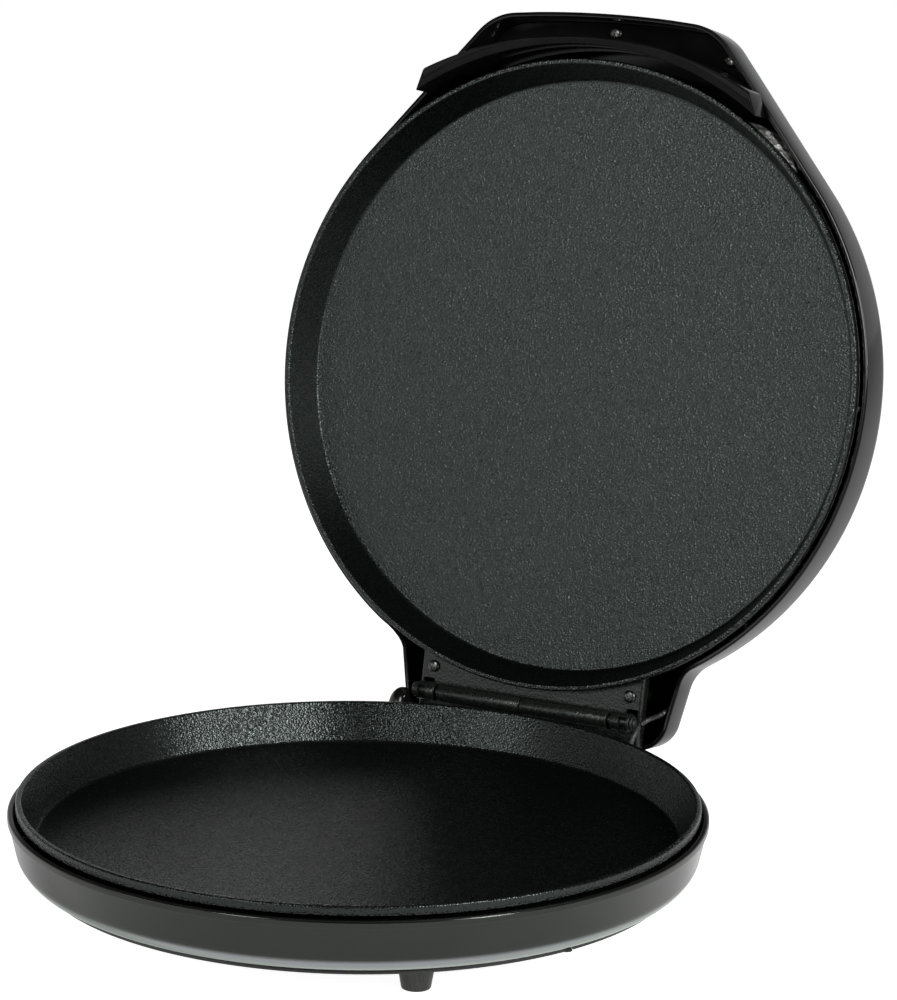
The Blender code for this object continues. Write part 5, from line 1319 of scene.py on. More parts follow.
def cross_cut(form, radius, height, level):
    """Cut a cross recess into the middle of a screw's head."""
    length, width = CROSS_SHARES
    size = (radius * length, radius * width, height)
    cross = Form().block(size, at(0.0, 0.0, level))
    cross.joined(Form().block(size, at(0.0, 0.0, level) @ Matrix.Rotation(math.pi / 2, 4, "Z")))
    return form.cut(cross)


def dome_share(rim, angle):
    """Height of a dome at an angle from its pole, as a share; its rim has a height of its own."""
    return rim + (1.0 - rim) * math.cos(angle)


def screw_form(length, head):
    """A domed head with a cross recess below the seat at height zero, and a threaded shank above."""
    radius, height = head
    dome = [(radius * math.sin(angle), -height * dome_share(HEAD_RIM_SHARE, angle))
            for angle in [math.pi / 2 * step / 8 for step in range(9)]]
    profile = dome + [(radius, 0.0), (SCREW_RADIUS, 0.0)] + thread(length, 0.0)
    return cross_cut(Form().turned(profile, 32), radius, height * CROSS_DEPTH_SHARE, -height)


def sunk_screw_form(length, radius):
    """A countersunk screw with its flat face at height zero."""
    edge = COVER_SCREW_SINK * SINK_EDGE_SHARE
    profile = [(0.0, 0.0), (radius, 0.0), (radius, edge), (SCREW_RADIUS, COVER_SCREW_SINK)]
    profile += thread(length, COVER_SCREW_SINK)
    return cross_cut(Form().turned(profile, 32), radius, COVER_SCREW_SINK, 0.0)


def build_base_screws():
    seat = cover_top() - COVER_THICKNESS
    spots = [(*ring_place(COVER_SCREW_RING, angle), seat, math.radians(angle))
             for angle in COVER_SCREW_ANGLES]
    finish_copies(sunk_screw_form(COVER_SCREW_LENGTH, COVER_SCREW_HEAD), spots, "cover_screws", "base",
                  dark_zinc(), ["cover_screw_%d" % number for number in range(1, 5)])
    seat = -SHELF_DROP - HOUSING_WALL - GAP
    spots = [(x, y, seat, SCREW_TURN) for x, y in bracket_screw_places()]
    finish_copies(screw_form(HOUSING_WALL + BRACKET_FOOT, SCREW_HEAD), spots, "hinge_bracket_screws", "base",
                  bare_steel(), ["hinge_bracket_screw_1", "hinge_bracket_screw_2"])


def build_lid_screws():
    across, behind = LID_SCREW_PLACE
    seat = channel_face() - GAP
    spots = [(side * across, behind, seat, turn) for side, turn in zip((-1, 1), LID_SCREW_TURNS)]
    finish_copies(screw_form(CHANNEL_THICKNESS + LID_BOSS * 2, LID_SCREW_HEAD), spots, "lid_hinge_screws",
                  "lid", dark_zinc(), ["lid_hinge_screw_left", "lid_hinge_screw_right"])
    seat = GRIP_TOP - GRIP_FLANGE - GAP
    spots = [(x, y, seat, turn) for (x, y), turn in zip(GRIP_SCREWS, GRIP_SCREW_TURNS)]
    finish_copies(screw_form(GRIP_FLANGE + GRIP_BOSS * 2, SCREW_HEAD), spots, "grip_screws", "lid",
                  dark_zinc(), ["grip_screw_left", "grip_screw_middle", "grip_screw_right"])


def channel_face():
    """Height of the hinge plate's face that looks at the base."""
    return HINGE_RISE + sizes().barrel_radius + CHANNEL_LIFT


def barrel_form(low, high):
    """A solid knuckle on the hinge axis with softened ends."""
    middle = (low + high) / 2
    return Form().rod(sizes().barrel_radius, high - low, hinge_line(middle), 64, FILLET_PLAIN)


def pin_bore(low, high):
    return Form().rod(PIN_RADIUS + GAP, high - low, hinge_line((low + high) / 2), SMALL_STEPS)


def across_x():
    """Turns an outline drawn as (backwards, up) so that it runs along X."""
    return Matrix(((0.0, 0.0, 1.0, 0.0), (1.0, 0.0, 0.0, 0.0), (0.0, 1.0, 0.0, 0.0), (0.0, 0.0, 0.0, 1.0)))


def build_base_hinge():
    look = hinge_coating()
    radius = sizes().barrel_radius
    front = HINGE_REACH - radius + SKIM
    shelf = -SHELF_DROP + GAP
    ledge_low = -LIP_DROP + GAP
    ledge_high = ledge_low + BRACKET_LEDGE[1]
    outline = [
        (front - BRACKET_LEDGE[0], ledge_low), (front, ledge_low), (front, shelf),
        (HINGE_REACH + BRACKET_REACH, shelf), (HINGE_REACH + BRACKET_REACH, shelf + BRACKET_FOOT),
        (front + WEB_THICKNESS, shelf + BRACKET_FOOT), (front + WEB_THICKNESS, HINGE_RISE - SKIM),
        (front + WEB_THICKNESS / 3, HINGE_RISE - SKIM), (front + WEB_THICKNESS / 3, ledge_high),
        (front - BRACKET_LEDGE[0], ledge_high)]
    section = softened(outline, [FILLET_SMALL, FILLET_BROAD, FILLET_PLAIN, FILLET_PLAIN, FILLET_WIDE,
                                 FILLET_WIDE, 0.0, 0.0, FILLET_BROAD, FILLET_PLAIN], 3)
    bracket = Form().prism(section, -KNUCKLE_END + SKIM, -KNUCKLE_SPLIT - SKIM, FILLET_FINE, across_x())
    bracket.joined(barrel_form(-KNUCKLE_END, -KNUCKLE_SPLIT))
    bracket.cut(pin_bore(-KNUCKLE_END - OVERRUN, -KNUCKLE_SPLIT + OVERRUN))
    screws = Form()
    for x, y in bracket_screw_places():
        screws.rod(SCREW_HOLE, 2 * BRACKET_FOOT, at(x, y, shelf + BRACKET_FOOT / 2), 32)
    bracket.cut(screws)
    finish_piece(bracket, "hinge_bracket", "base", look, ["base_hinge_bracket"])
    pin = Form()
    right = LUG_OUTER + CLIP[1] + PIN_TAIL
    left = -LUG_OUTER - GAP
    head_radius, head_length = PIN_HEAD
    corners = [
        ((0.0, right), 0.0), ((PIN_RADIUS, right), FILLET_BROAD), ((PIN_RADIUS, left), 0.0),
        ((head_radius, left), FILLET_FINE), ((head_radius, left - head_length), FILLET_FULL),
        ((0.0, left - head_length), 0.0)]
    pin.turned(rounded(corners, 5), SMALL_STEPS, hinge_line())
    finish_piece(pin, "hinge_rod", "base", black_steel(), ["hinge_pin"])
    start = LUG_OUTER + GAP
    ring = softened([(PIN_RADIUS + GAP, start), (CLIP[0], start), (CLIP[0], start + CLIP[1]),
                     (PIN_RADIUS + GAP, start + CLIP[1])], FILLET_FINE, 3)
    clip = Form().turned(ring, SMALL_STEPS, hinge_line())
    notch = Form().block((CLIP[1] * 3, CLIP[0] * 2, PIN_RADIUS * 1.1),
                         at(start + CLIP[1] / 2, HINGE_REACH + CLIP[0], HINGE_RISE))
    clip.cut(notch)
    finish_piece(clip, "hinge_clip", "base", black_steel(), ["hinge_pin_clip"])


def build_lid_hinge():
    radius = sizes().barrel_radius
    face = channel_face()
    inner = CHANNEL_HALF - CHANNEL_THICKNESS
    web_top = face + CHANNEL_THICKNESS
    bend = CHANNEL_BEND
    section = softened([
        (-CHANNEL_HALF, face), (CHANNEL_HALF, face), (CHANNEL_HALF, face + CHANNEL_DEPTH),
        (inner, face + CHANNEL_DEPTH), (inner, web_top), (-inner, web_top),
        (-inner, face + CHANNEL_DEPTH), (-CHANNEL_HALF, face + CHANNEL_DEPTH)],
        [bend * 1.5, bend * 1.5, FILLET_PLAIN, FILLET_PLAIN, bend, bend, FILLET_PLAIN, FILLET_PLAIN], 5)
    plate = Form().prism(section, -CHANNEL_REAR, -CHANNEL_FRONT, FILLET_PLAIN, upright())
    clear = plate_outer(face - RIM_CLEARANCE) + CHANNEL_CLEAR
    plate.cut(Form().rod(clear, 4 * CHANNEL_DEPTH, at(0.0, 0.0, face + CHANNEL_DEPTH), ROUND_STEPS))
    start = -KNUCKLE_SPLIT + KNUCKLE_GAP
    knuckles = [(start, KNUCKLE_END, KNUCKLE_END - start - 2 * SKIM), (LUG_INNER, LUG_OUTER, LUG_WEB),
                (-LUG_OUTER, -LUG_INNER, LUG_WEB)]
    for low, high, web in knuckles:
        plate.joined(barrel_form(low, high))
        height = face + CHANNEL_THICKNESS / 2 - HINGE_RISE - PIN_RADIUS
        inboard = low + SKIM + web / 2 if low + high > 0 else high - SKIM - web / 2
        where = at(inboard, HINGE_REACH - WEB_THICKNESS / 4, HINGE_RISE + PIN_RADIUS + height / 2)
        plate.joined(Form().block((web, WEB_THICKNESS, height), where))
    inner = LUG_INNER + LUG_WEB + 2 * SKIM
    outer = LUG_OUTER + WINDOW_OUTER
    middle_y = HINGE_REACH + (WINDOW_REAR - WINDOW_FRONT) / 2
    above = face + 2 * CHANNEL_THICKNESS - CHANNEL_LIFT / 2
    openings = Form()
    windows = Form()
    wide, lift = LUG_WINDOW_SHARES
    for side in (-1, 1):
        openings.block((outer - inner, WINDOW_FRONT + WINDOW_REAR, 4 * CHANNEL_THICKNESS),
                       at(side * (outer + inner) / 2, middle_y, above), FILLET_LARGE)
        windows.block((LUG_WINDOW, radius * wide, 2 * radius),
                      at(side * (inner + LUG_WINDOW / 2 + SKIM), HINGE_REACH,
                         HINGE_RISE - radius - PIN_RADIUS * lift), FILLET_PLAIN)
    plate.cut(openings)
    plate.cut(windows)
    plate.cut(pin_bore(-LUG_OUTER - OVERRUN, LUG_OUTER + OVERRUN))
    holes = Form()
    across, behind = LID_SCREW_PLACE
    for side in (-1, 1):
        holes.rod(SCREW_HOLE, 4 * CHANNEL_THICKNESS, at(side * across, behind, face), 32)
    plate.cut(holes)
    finish_piece(plate, "lid_hinge_channel", "lid", hinge_coating(), ["lid_hinge_plate"])


def tangent_corner(before, corner, after, radius, steps):
    """An arc of the given radius that rounds a corner of a path."""
    corner = Vector(corner)
    back = (Vector(before) - corner).normalized()
    ahead = (Vector(after) - corner).normalized()
    return corner_arc(corner, back, ahead, radius / math.tan(back.angle(ahead) / 2), steps)


def lid_half_outline():
    """Right half of the lid's plan, from the visor's middle round to the tail's middle."""
    values = sizes()
    radius = values.lid_radius
    tangent = math.radians(VISOR_TANGENT)
    touch = (radius * math.sin(tangent), -radius * math.cos(tangent))
    run = (values.visor_reach + touch[1]) / math.sin(tangent)
    vertex_x = touch[0] - run * math.cos(tangent)
    vertex = (vertex_x, -values.visor_reach + vertex_x ** 2 / (2 * VISOR_BOW))
    front = []
    for index in range(16):
        x = (vertex_x - VISOR_CORNER * VISOR_RUN_SHARE) * index / 16
        front.append((x, -values.visor_reach + x ** 2 / (2 * VISOR_BOW)))
    corner = tangent_corner(front[-1], vertex, touch, VISOR_CORNER, 12)
    slope = (TAIL_HALF_FRONT - TAIL_HALF_REAR) / (values.tail_reach - TAIL_RAMP[1])
    fillet_x = TAIL_HALF_FRONT + TAIL_FILLET
    fillet_y = math.sqrt((radius + TAIL_FILLET) ** 2 - fillet_x ** 2)
    leave = math.degrees(math.atan2(fillet_x, -fillet_y))
    steps = round(ROUND_STEPS * (leave - VISOR_TANGENT) / 360.0)
    sweep = [ring_place(radius, VISOR_TANGENT + (leave - VISOR_TANGENT) * index / steps)
             for index in range(steps + 1)]
    inward = math.degrees(math.atan2(-fillet_y, -fillet_x))
    settle = -180.0 + math.degrees(math.atan(slope))
    fillet = arc((fillet_x, fillet_y), TAIL_FILLET, inward, settle, 12)[1:]
    rear = (TAIL_HALF_REAR, values.tail_reach)
    tail = tangent_corner(fillet[-1], rear, (0.0, values.tail_reach), TAIL_CORNER, 12)
    return front + corner + sweep + fillet + tail


def lid_outline():
    """The whole plan as (point, outward normal) pairs, anticlockwise from the front."""
    right = lid_half_outline()
    left = [point for point in mirrored(right) if point[0] < -WELD]
    points = [Vector(point) for point in right + left]
    count = len(points)
    pairs = []
    for index, point in enumerate(points):
        run = (points[(index + 1) % count] - points[index - 1]).normalized()
        pairs.append((point, Vector((run.y, -run.x))))
    return pairs


def rim_level(y):
    """The shell's rim steps up in the tail, where it clears the base's hinge."""
    start, end = TAIL_RAMP
    share = min(max((y - start) / (end - start), 0.0), 1.0)
    return LID_RIM + (TAIL_RIM - LID_RIM) * share * share * (3.0 - 2.0 * share)


def rim_ring(outline, inset, lift):
    ring = []
    for point, normal in outline:
        place = point - normal * inset
        ring.append((place.x, place.y, rim_level(point.y) + lift))
    return ring


def crown_rise(x, y):
    """Rise of the lid's dome, which levels out at the round shell's edge."""
    values = sizes()
    share = math.hypot(x, y) / (values.lid_radius - LID_DRAFT - values.lid_round)
    return LID_CROWN * max(1.0 - share * share, 0.0) ** 2


def shell_rings(outline, inset, radius, steps):
    """Rounded edge and crown of one side of the shell, up to its pole."""
    values = sizes()
    rings = []
    for across, level in arc((0.0, 0.0), radius, 0.0, 90.0, steps):
        ring = []
        for point, normal in outline:
            place = point - normal * (inset + radius - across)
            ring.append((place.x, place.y, values.lid_shoulder + level))
        rings.append(ring)
    edge = rings[-1]
    for share in CROWN_RING_SHARES:
        rings.append([(x * share, y * share, z + crown_rise(x * share, y * share)) for x, y, z in edge])
    rings.append([(0.0, 0.0, edge[0][2] + crown_rise(0.0, 0.0))])
    return rings


def ceiling_level(place, outline):
    """Height of the middle of the shell's wall over a place, rounded edge included."""
    values = sizes()
    nearest = min((place - point).length for point, _ in outline)
    radius = values.lid_round - LID_WALL / 2
    short = max(radius + LID_DRAFT + LID_WALL / 2 - nearest, 0.0)
    return values.lid_shoulder + math.sqrt(max(radius ** 2 - short ** 2, 0.0))


def add_post(shell, place, radius, low, outline):
    """A screw post with a blind bore that stands down from the lid's ceiling."""
    bore = SCREW_RADIUS + GAP
    high = sizes().lid_shoulder + sizes().lid_round
    end = low + 3 * radius
    post = Form().turned([(0.0, high), (radius, high), (radius, low), (bore, low), (bore, end), (0.0, end)],
                         SMALL_STEPS)
    for vertex in post.bm.verts:
        if vertex.co.z > high - WELD:
            vertex.co.z = ceiling_level(Vector(place) + vertex.co.xy, outline)
        vertex.co += Vector((*place, 0.0))
    shell.bm.from_mesh(post.mesh("post"))


def lid_rib_section():
    """Section of a rib that locates the upper plate inside the shell."""
    values = sizes()
    low = LID_RIM + GAP * 5
    buried = LID_WALL / 2
    seat = RIM_CLEARANCE + values.plate_depth + UPPER_FLOOR + GAP
    inner = plate_outer(values.plate_depth)
    top = values.lid_shoulder + values.lid_round - buried
    points = [
        (values.lid_radius - buried, low), (plate_outer(low - RIM_CLEARANCE) + GAP, low),
        (inner + GAP, RIM_CLEARANCE + values.plate_depth), (inner, seat),
        (inner - RIB_LEDGE, seat), (inner - RIB_LEDGE, top)]
    centre = (values.lid_radius - LID_DRAFT - values.lid_round, values.lid_shoulder)
    return points + arc(centre, values.lid_round - buried, 90.0, 0.0, 6)


def lamp_level(x, y):
    """Height of the lid's outer face where a lamp stands."""
    values = sizes()
    return values.lid_shoulder + values.lid_round + crown_rise(x, y)


def build_lid_shell():
    look = gloss_black()
    values = sizes()
    outline = lid_outline()
    outer = shell_rings(outline, LID_DRAFT, values.lid_round, 14)
    inner = shell_rings(outline, LID_DRAFT + LID_WALL, values.lid_round - LID_WALL, 8)
    rim = []
    for run, rise in arc((0.0, 0.0), LID_EDGE, 0.0, 90.0, 4):
        rim.append(rim_ring(outline, LID_EDGE - run, LID_EDGE - rise))
    for run, rise in arc((0.0, 0.0), LID_EDGE, 90.0, 0.0, 4):
        rim.append(rim_ring(outline, LID_WALL - LID_EDGE + run, LID_EDGE - rise))
    shell = Form().skin(list(reversed(outer)) + rim + inner)
    holes = Form()
    for x, y in LAMP_PLACES:
        holes.rod(LAMP_STEM[0] + GAP, 4 * LID_WALL, at(x, y, lamp_level(x, y)))
    shell.cut(holes)
    face = channel_face() + CHANNEL_THICKNESS + GAP
    for side in (-1, 1):
        add_post(shell, (side * LID_SCREW_PLACE[0], LID_SCREW_PLACE[1]), LID_BOSS, face, outline)
    for place in GRIP_SCREWS:
        add_post(shell, place, GRIP_BOSS, GRIP_TOP + GAP, outline)
    finish_piece(shell, "lid_cover", "lid", look, ["lid_shell"])
    finish_copies(rib_form(lid_rib_section()), round_spots(LID_RIB_ANGLES), "lid_cover_ribs", "lid", look,
                  ["lid_shell"])


def grip_outer(angle_deg):
    """Radius of the grip's outer face, which bows forward of the plate."""
    along = GRIP_BOW_CENTRE * math.cos(math.radians(angle_deg))
    return math.sqrt(along ** 2 - GRIP_BOW_CENTRE ** 2 + GRIP_BOW_RADIUS ** 2) - along


def grip_bar(inner_end, outer_end, low_inner, low_outer, high, radii, edge):
    """A curved bar between two radii, with slanted, softened ends."""
    steps = 72
    start = 1.0 - edge * GRIP_END_SHARES[1]
    shares = [(1.0, edge), (1.0 - edge * GRIP_END_SHARES[0], edge * BEVEL_SHARE), (start, 0.0)]
    inside = [start * (1.0 - 2.0 * index / steps) for index in range(1, steps)]
    cuts = shares + [(share, 0.0) for share in inside]
    cuts += [(-share, inset) for share, inset in reversed(shares)]
    rings = []
    for share, inset in cuts:
        near = Vector(ring_place(GRIP_INNER, inner_end * share))
        far = Vector(ring_place(grip_outer(outer_end * share), outer_end * share))
        width = (far - near).length
        section = softened([(inset, low_inner + inset), (width - inset, low_outer + inset),
                            (width - inset, high - inset), (inset, high - inset)], radii, 4)
        ring = []
        for across, level in section:
            place = near.lerp(far, across / width)
            ring.append((place.x, place.y, level))
        rings.append(ring)
    return Form().skin(rings)


def flange_front():
    """The inside of the visor's wall from left to right, cut off at the flange's ends."""
    inset = LID_WALL + LID_DRAFT + GAP
    wall = [point - normal * inset for point, normal in lid_outline()]
    front = []
    for start, end in zip(wall, wall[1:] + wall[:1]):
        if start.y > 0.0:
            continue
        inside = abs(start.x) < GRIP_FLANGE_HALF
        if inside:
            front.append(tuple(start))
        if inside != (abs(end.x) < GRIP_FLANGE_HALF):
            share = (GRIP_FLANGE_HALF - abs(start.x)) / (abs(end.x) - abs(start.x))
            front.append(tuple(start.lerp(end, share)))
    front.sort()
    return front


def build_grip():
    drop = sizes().grip_drop
    grip = grip_bar(GRIP_END_INNER, GRIP_END_OUTER, GRIP_SLANT - drop, -drop, GRIP_SEAT,
                    GRIP_FILLETS, GRIP_END_ROUND)
    foot = GRIP_SEAT - SKIM
    grip.joined(grip_bar(GRIP_TONGUE, GRIP_TONGUE, foot, foot, GRIP_TOP, FILLET_SMALL, FILLET_SMALL))
    back = [ring_place(GRIP_INNER + SKIM, GRIP_TONGUE * GRIP_BACK_SHARE * (1.0 - index / 16.0))
            for index in range(33)]
    grip.joined(Form().prism(flange_front() + back, GRIP_TOP - GRIP_FLANGE, GRIP_TOP - GRIP_FLANGE_SINK))
    holes = Form()
    for place in GRIP_SCREWS:
        holes.rod(SCREW_HOLE, 4 * GRIP_FLANGE, at(*place, GRIP_TOP), 32)
    grip.cut(holes)
    finish_piece(grip, "grip", "lid", grip_black(), ["handle_grip"])


def build_foil():
    """Thin crumpled strip round the upper plate's wall, open at the hinge, swelling out by the grip."""
    low = RIM_CLEARANCE + BAND_HEIGHT + GAP
    high = LID_RIM + GAP * 4
    start = plate_outer(BAND_HEIGHT) + FOIL_STANDOFF
    steps = 900
    rows = 4
    coarse, fine = FOIL_CREASE_SCALES
    near_side = []
    far_side = []
    for index in range(steps + 1):
        angle = FOIL_END * (2.0 * index / steps - 1.0)
        swell = max(0.0, 1.0 - ((angle - FOIL_SWELL_AT) / FOIL_SWELL_HALF) ** 2)
        near = []
        far = []
        for row in range(rows + 1):
            share = row / rows
            spot = Vector((*ring_place(1.0, angle), share * 0.2))
            crease = noise.noise(spot * coarse) * 0.5 + noise.noise(spot * fine) * 0.5
            top = high + FOIL_HEM * noise.noise(spot * FOIL_HEM_SCALE) * share + FOIL_SWELL_RISE * swell
            level = low + (top - low) * share
            radius = start + FOIL_CREASE + FOIL_CREASE * crease * (1.0 + 3.0 * swell)
            radius += FOIL_SWELL_OUT * swell * share
            near.append((*ring_place(radius, angle), level))
            far.append((*ring_place(radius + FOIL_THICKNESS, angle), level))
        near_side.append(near)
        far_side.append(far)
    rings = [near + list(reversed(far)) for near, far in zip(near_side, far_side)]
    foil = Form().skin(rings)
    finish_piece(foil, "plate_foil", "lid", foil_look(), ["insulation_foil"])


def build_lamps():
    radius = sizes().lamp_radius
    stem_radius, stem_length = LAMP_STEM
    looks = (("power_lamp", "red_lens", finishes().red), ("ready_lamp", "green_lens", finishes().green))
    for (node, slot, colour), (x, y) in zip(looks, LAMP_PLACES):
        seat = lamp_level(x, y) + LAMP_SEAT
        ring = radius * LENS_RING_SHARE
        edge = LAMP_DOME * LENS_RIM_SHARE
        dome = [(ring * math.sin(angle), LAMP_DOME * dome_share(LENS_RIM_SHARE, angle))
                for angle in [math.pi / 2 * step / 10 for step in range(11)]]
        rim = softened([(ring, edge), (radius, edge), (radius, 0.0), (stem_radius, 0.0),
                        (stem_radius, -stem_length), (0.0, -stem_length)],
                       [0.0, FILLET_SMALL, FILLET_FINE, 0.0, FILLET_SMALL, 0.0], 3)
        lamp = Form().turned(dome[:-1] + rim, 64, at(x, y, seat))
        finish_piece(lamp, node + "_lens", "lid", lens_look(slot + "_look", colour), [node])


def smooth_path(points, steps):
    """Points of a smooth curve through the given ones."""
    path = []
    padded = [points[0]] + list(points) + [points[-1]]
    for index in range(1, len(padded) - 2):
        before, start, end, after = [Vector(point) for point in padded[index - 1:index + 3]]
        for step in range(steps):
            t = step / steps
            path.append(0.5 * (2 * start + (end - before) * t
                               + (2 * before - 5 * start + 4 * end - after) * t ** 2
                               + (3 * start - before - 3 * end + after) * t ** 3))
    path.append(Vector(points[-1]))
    return path


def lead_wall_x(y, level):
    """Where the lead lies against the inside of the tail's right wall."""
    values = sizes()
    slope = (TAIL_HALF_FRONT - TAIL_HALF_REAR) / (values.tail_reach - TAIL_RAMP[1])
    half = TAIL_HALF_FRONT - slope * (y - TAIL_RAMP[1])
    draft = LID_DRAFT * (level - TAIL_RIM) / (values.lid_shoulder - TAIL_RIM)
    return half - draft - (LID_WALL + GAP + LEAD_RADIUS) * math.sqrt(1.0 + slope ** 2)


def build_leads():
    x, y = LEAD_PLACE
    radius = sizes().barrel_radius
    deck = -SHELF_DROP
    rise = HINGE_RISE - deck
    straight, bent = LEAD_RISE_SHARES
    first, second = LEAD_BEND_SHARES
    below = [(x, y, -LEAD_DROP), (x, y, deck), (x, y, deck + rise * straight),
             (x + LEAD_RADIUS * LEAD_LEAN_SHARE, y + LEAD_RADIUS * 2, deck + rise * bent),
             (LEAD_AXIS_X, HINGE_REACH - GAP * 2, HINGE_RISE - GAP * 4)]
    lower = Form().tube(smooth_path(below, 10), LEAD_RADIUS)
    finish_piece(lower, "lead_base_end", "base", sleeve(), ["lid_lead_base_end"])
    behind = CHANNEL_LIFT + radius
    above = [(LEAD_AXIS_X, HINGE_REACH, HINGE_RISE + LEAD_RADIUS + GAP * 4),
             (LEAD_AXIS_X + LEAD_RADIUS * 2, HINGE_REACH - LEAD_RADIUS * 2, HINGE_RISE + behind),
             (LEAD_TAIL_X, HINGE_REACH - radius, HINGE_RISE + behind * second)]
    for share, level in ((first, TAIL_RIM + 2 * LEAD_RADIUS), (second, sizes().lid_shoulder)):
        front = HINGE_REACH - radius * share
        above.append((lead_wall_x(front, level), front, level))
    upper = Form().tube(smooth_path(above, 10), LEAD_RADIUS)
    finish_piece(upper, "lead_lid_end", "lid", sleeve(), ["lid_lead_lid_end"])
    inside = LEAD_RADIUS + GAP
    neck = LEAD_RADIUS + 2 * GAP + GROMMET_FLANGE
    top = deck + GAP
    low = deck - HOUSING_WALL - GAP
    section = softened([
        (inside, top + GROMMET_FLANGE), (GROMMET_RADIUS, top + GROMMET_FLANGE), (GROMMET_RADIUS, top),
        (neck, top), (neck, low), (GROMMET_RADIUS, low), (GROMMET_RADIUS, low - GROMMET_FLANGE),
        (inside, low - GROMMET_FLANGE)], FILLET_PLAIN, 3)
    grommet = Form().turned(section, SMALL_STEPS, at(x, y, 0.0))
    finish_piece(grommet, "lead_bush", "base", rubber(), ["lead_grommet"])


def build_gland():
    tip = GAP + GLAND_LENGTH
    inside = -HOUSING_WALL - GAP
    corners = [(GLAND_BORE, tip), (GLAND_NECK * GLAND_TIP_SHARE, tip)]
    rings = 4
    shoulder, crest, foot = GLAND_RIB
    start, growth = GLAND_TAPER_SHARES
    for index in range(rings):
        share = index / rings
        level = tip - (tip - GAP - GLAND_FLANGE) * (index + 1) / rings
        wide = GLAND_NECK * (start + growth * share)
        groove = wide * GLAND_GROOVE_SHARE
        corners += [(wide, level + shoulder), (wide, level + crest), (groove, level + foot)]
    inner = GLAND_RADIUS * GLAND_GROOVE_SHARE
    corners = corners[:-1] + [
        (GLAND_NECK * GLAND_FOOT_SHARE, GAP + GLAND_FLANGE), (GLAND_RADIUS, GAP + GLAND_FLANGE),
        (GLAND_RADIUS, GAP), (GLAND_NECK, GAP), (GLAND_NECK, inside), (inner, inside),
        (inner, inside - GLAND_FLANGE), (GLAND_BORE, inside - GLAND_FLANGE)]
    where = at(GLAND_PLACE_X, SHELF_REACH, gland_height()) @ Matrix.Rotation(-math.pi / 2, 4, "X")
    gland = Form().turned(softened(corners, FILLET_FINE, 2), 64, where)
    finish_piece(gland, "inlet_gland", "base", rubber(), ["cord_gland"])


def element_path(sign, surface):
    """Centre line of a heater: an open ring with two legs that run to the back."""
    level = surface + sign * (GAP + ELEMENT_TUBE)
    gate = ELEMENT_GATE + math.degrees(ELEMENT_BEND / ELEMENT_RADIUS)
    ring = arc((0.0, 0.0), ELEMENT_RADIUS, 90.0 + gate, 450.0 - gate, 96)
    out, start, lean, end = [ELEMENT_BEND * share for share in ELEMENT_BEND_SHARES]
    bend_y = ELEMENT_RADIUS + out
    left = [(-LEG_SPREAD, ELEMENT_LEG_END), (-LEG_SPREAD, bend_y + start),
            (-LEG_SPREAD - lean, bend_y), (-LEG_SPREAD - end, ELEMENT_RADIUS)]
    left = [(x, y) for x, y, _ in smooth_path([(*point, 0.0) for point in left + ring[:1]], 6)[:-1]]
    return [(x, y, level) for x, y in left + ring + mirrored(left)]


def strap_form():
    """A hat-shaped strap that spans the heater tube, seated at height zero."""
    inner = ELEMENT_TUBE + STRAP_ROOM
    outer = inner + STRAP_THICKNESS
    top = 2 * ELEMENT_TUBE + GAP
    reach = outer + STRAP_FOOT
    shoulder = inner * STRAP_SHOULDER_SHARE
    thick = STRAP_THICKNESS
    under = [(shoulder, top), (inner, top - shoulder), (inner, 0.0), (reach, 0.0)]
    over = [(reach, thick), (outer, thick), (outer, top - shoulder + thick / 2), (shoulder, top + thick)]
    section = softened(mirrored(under) + under + over + mirrored(over), FILLET_MEDIUM, 3)
    return Form().prism(section, -STRAP_WIDTH / 2, STRAP_WIDTH / 2, FILLET_HAIR, upright())


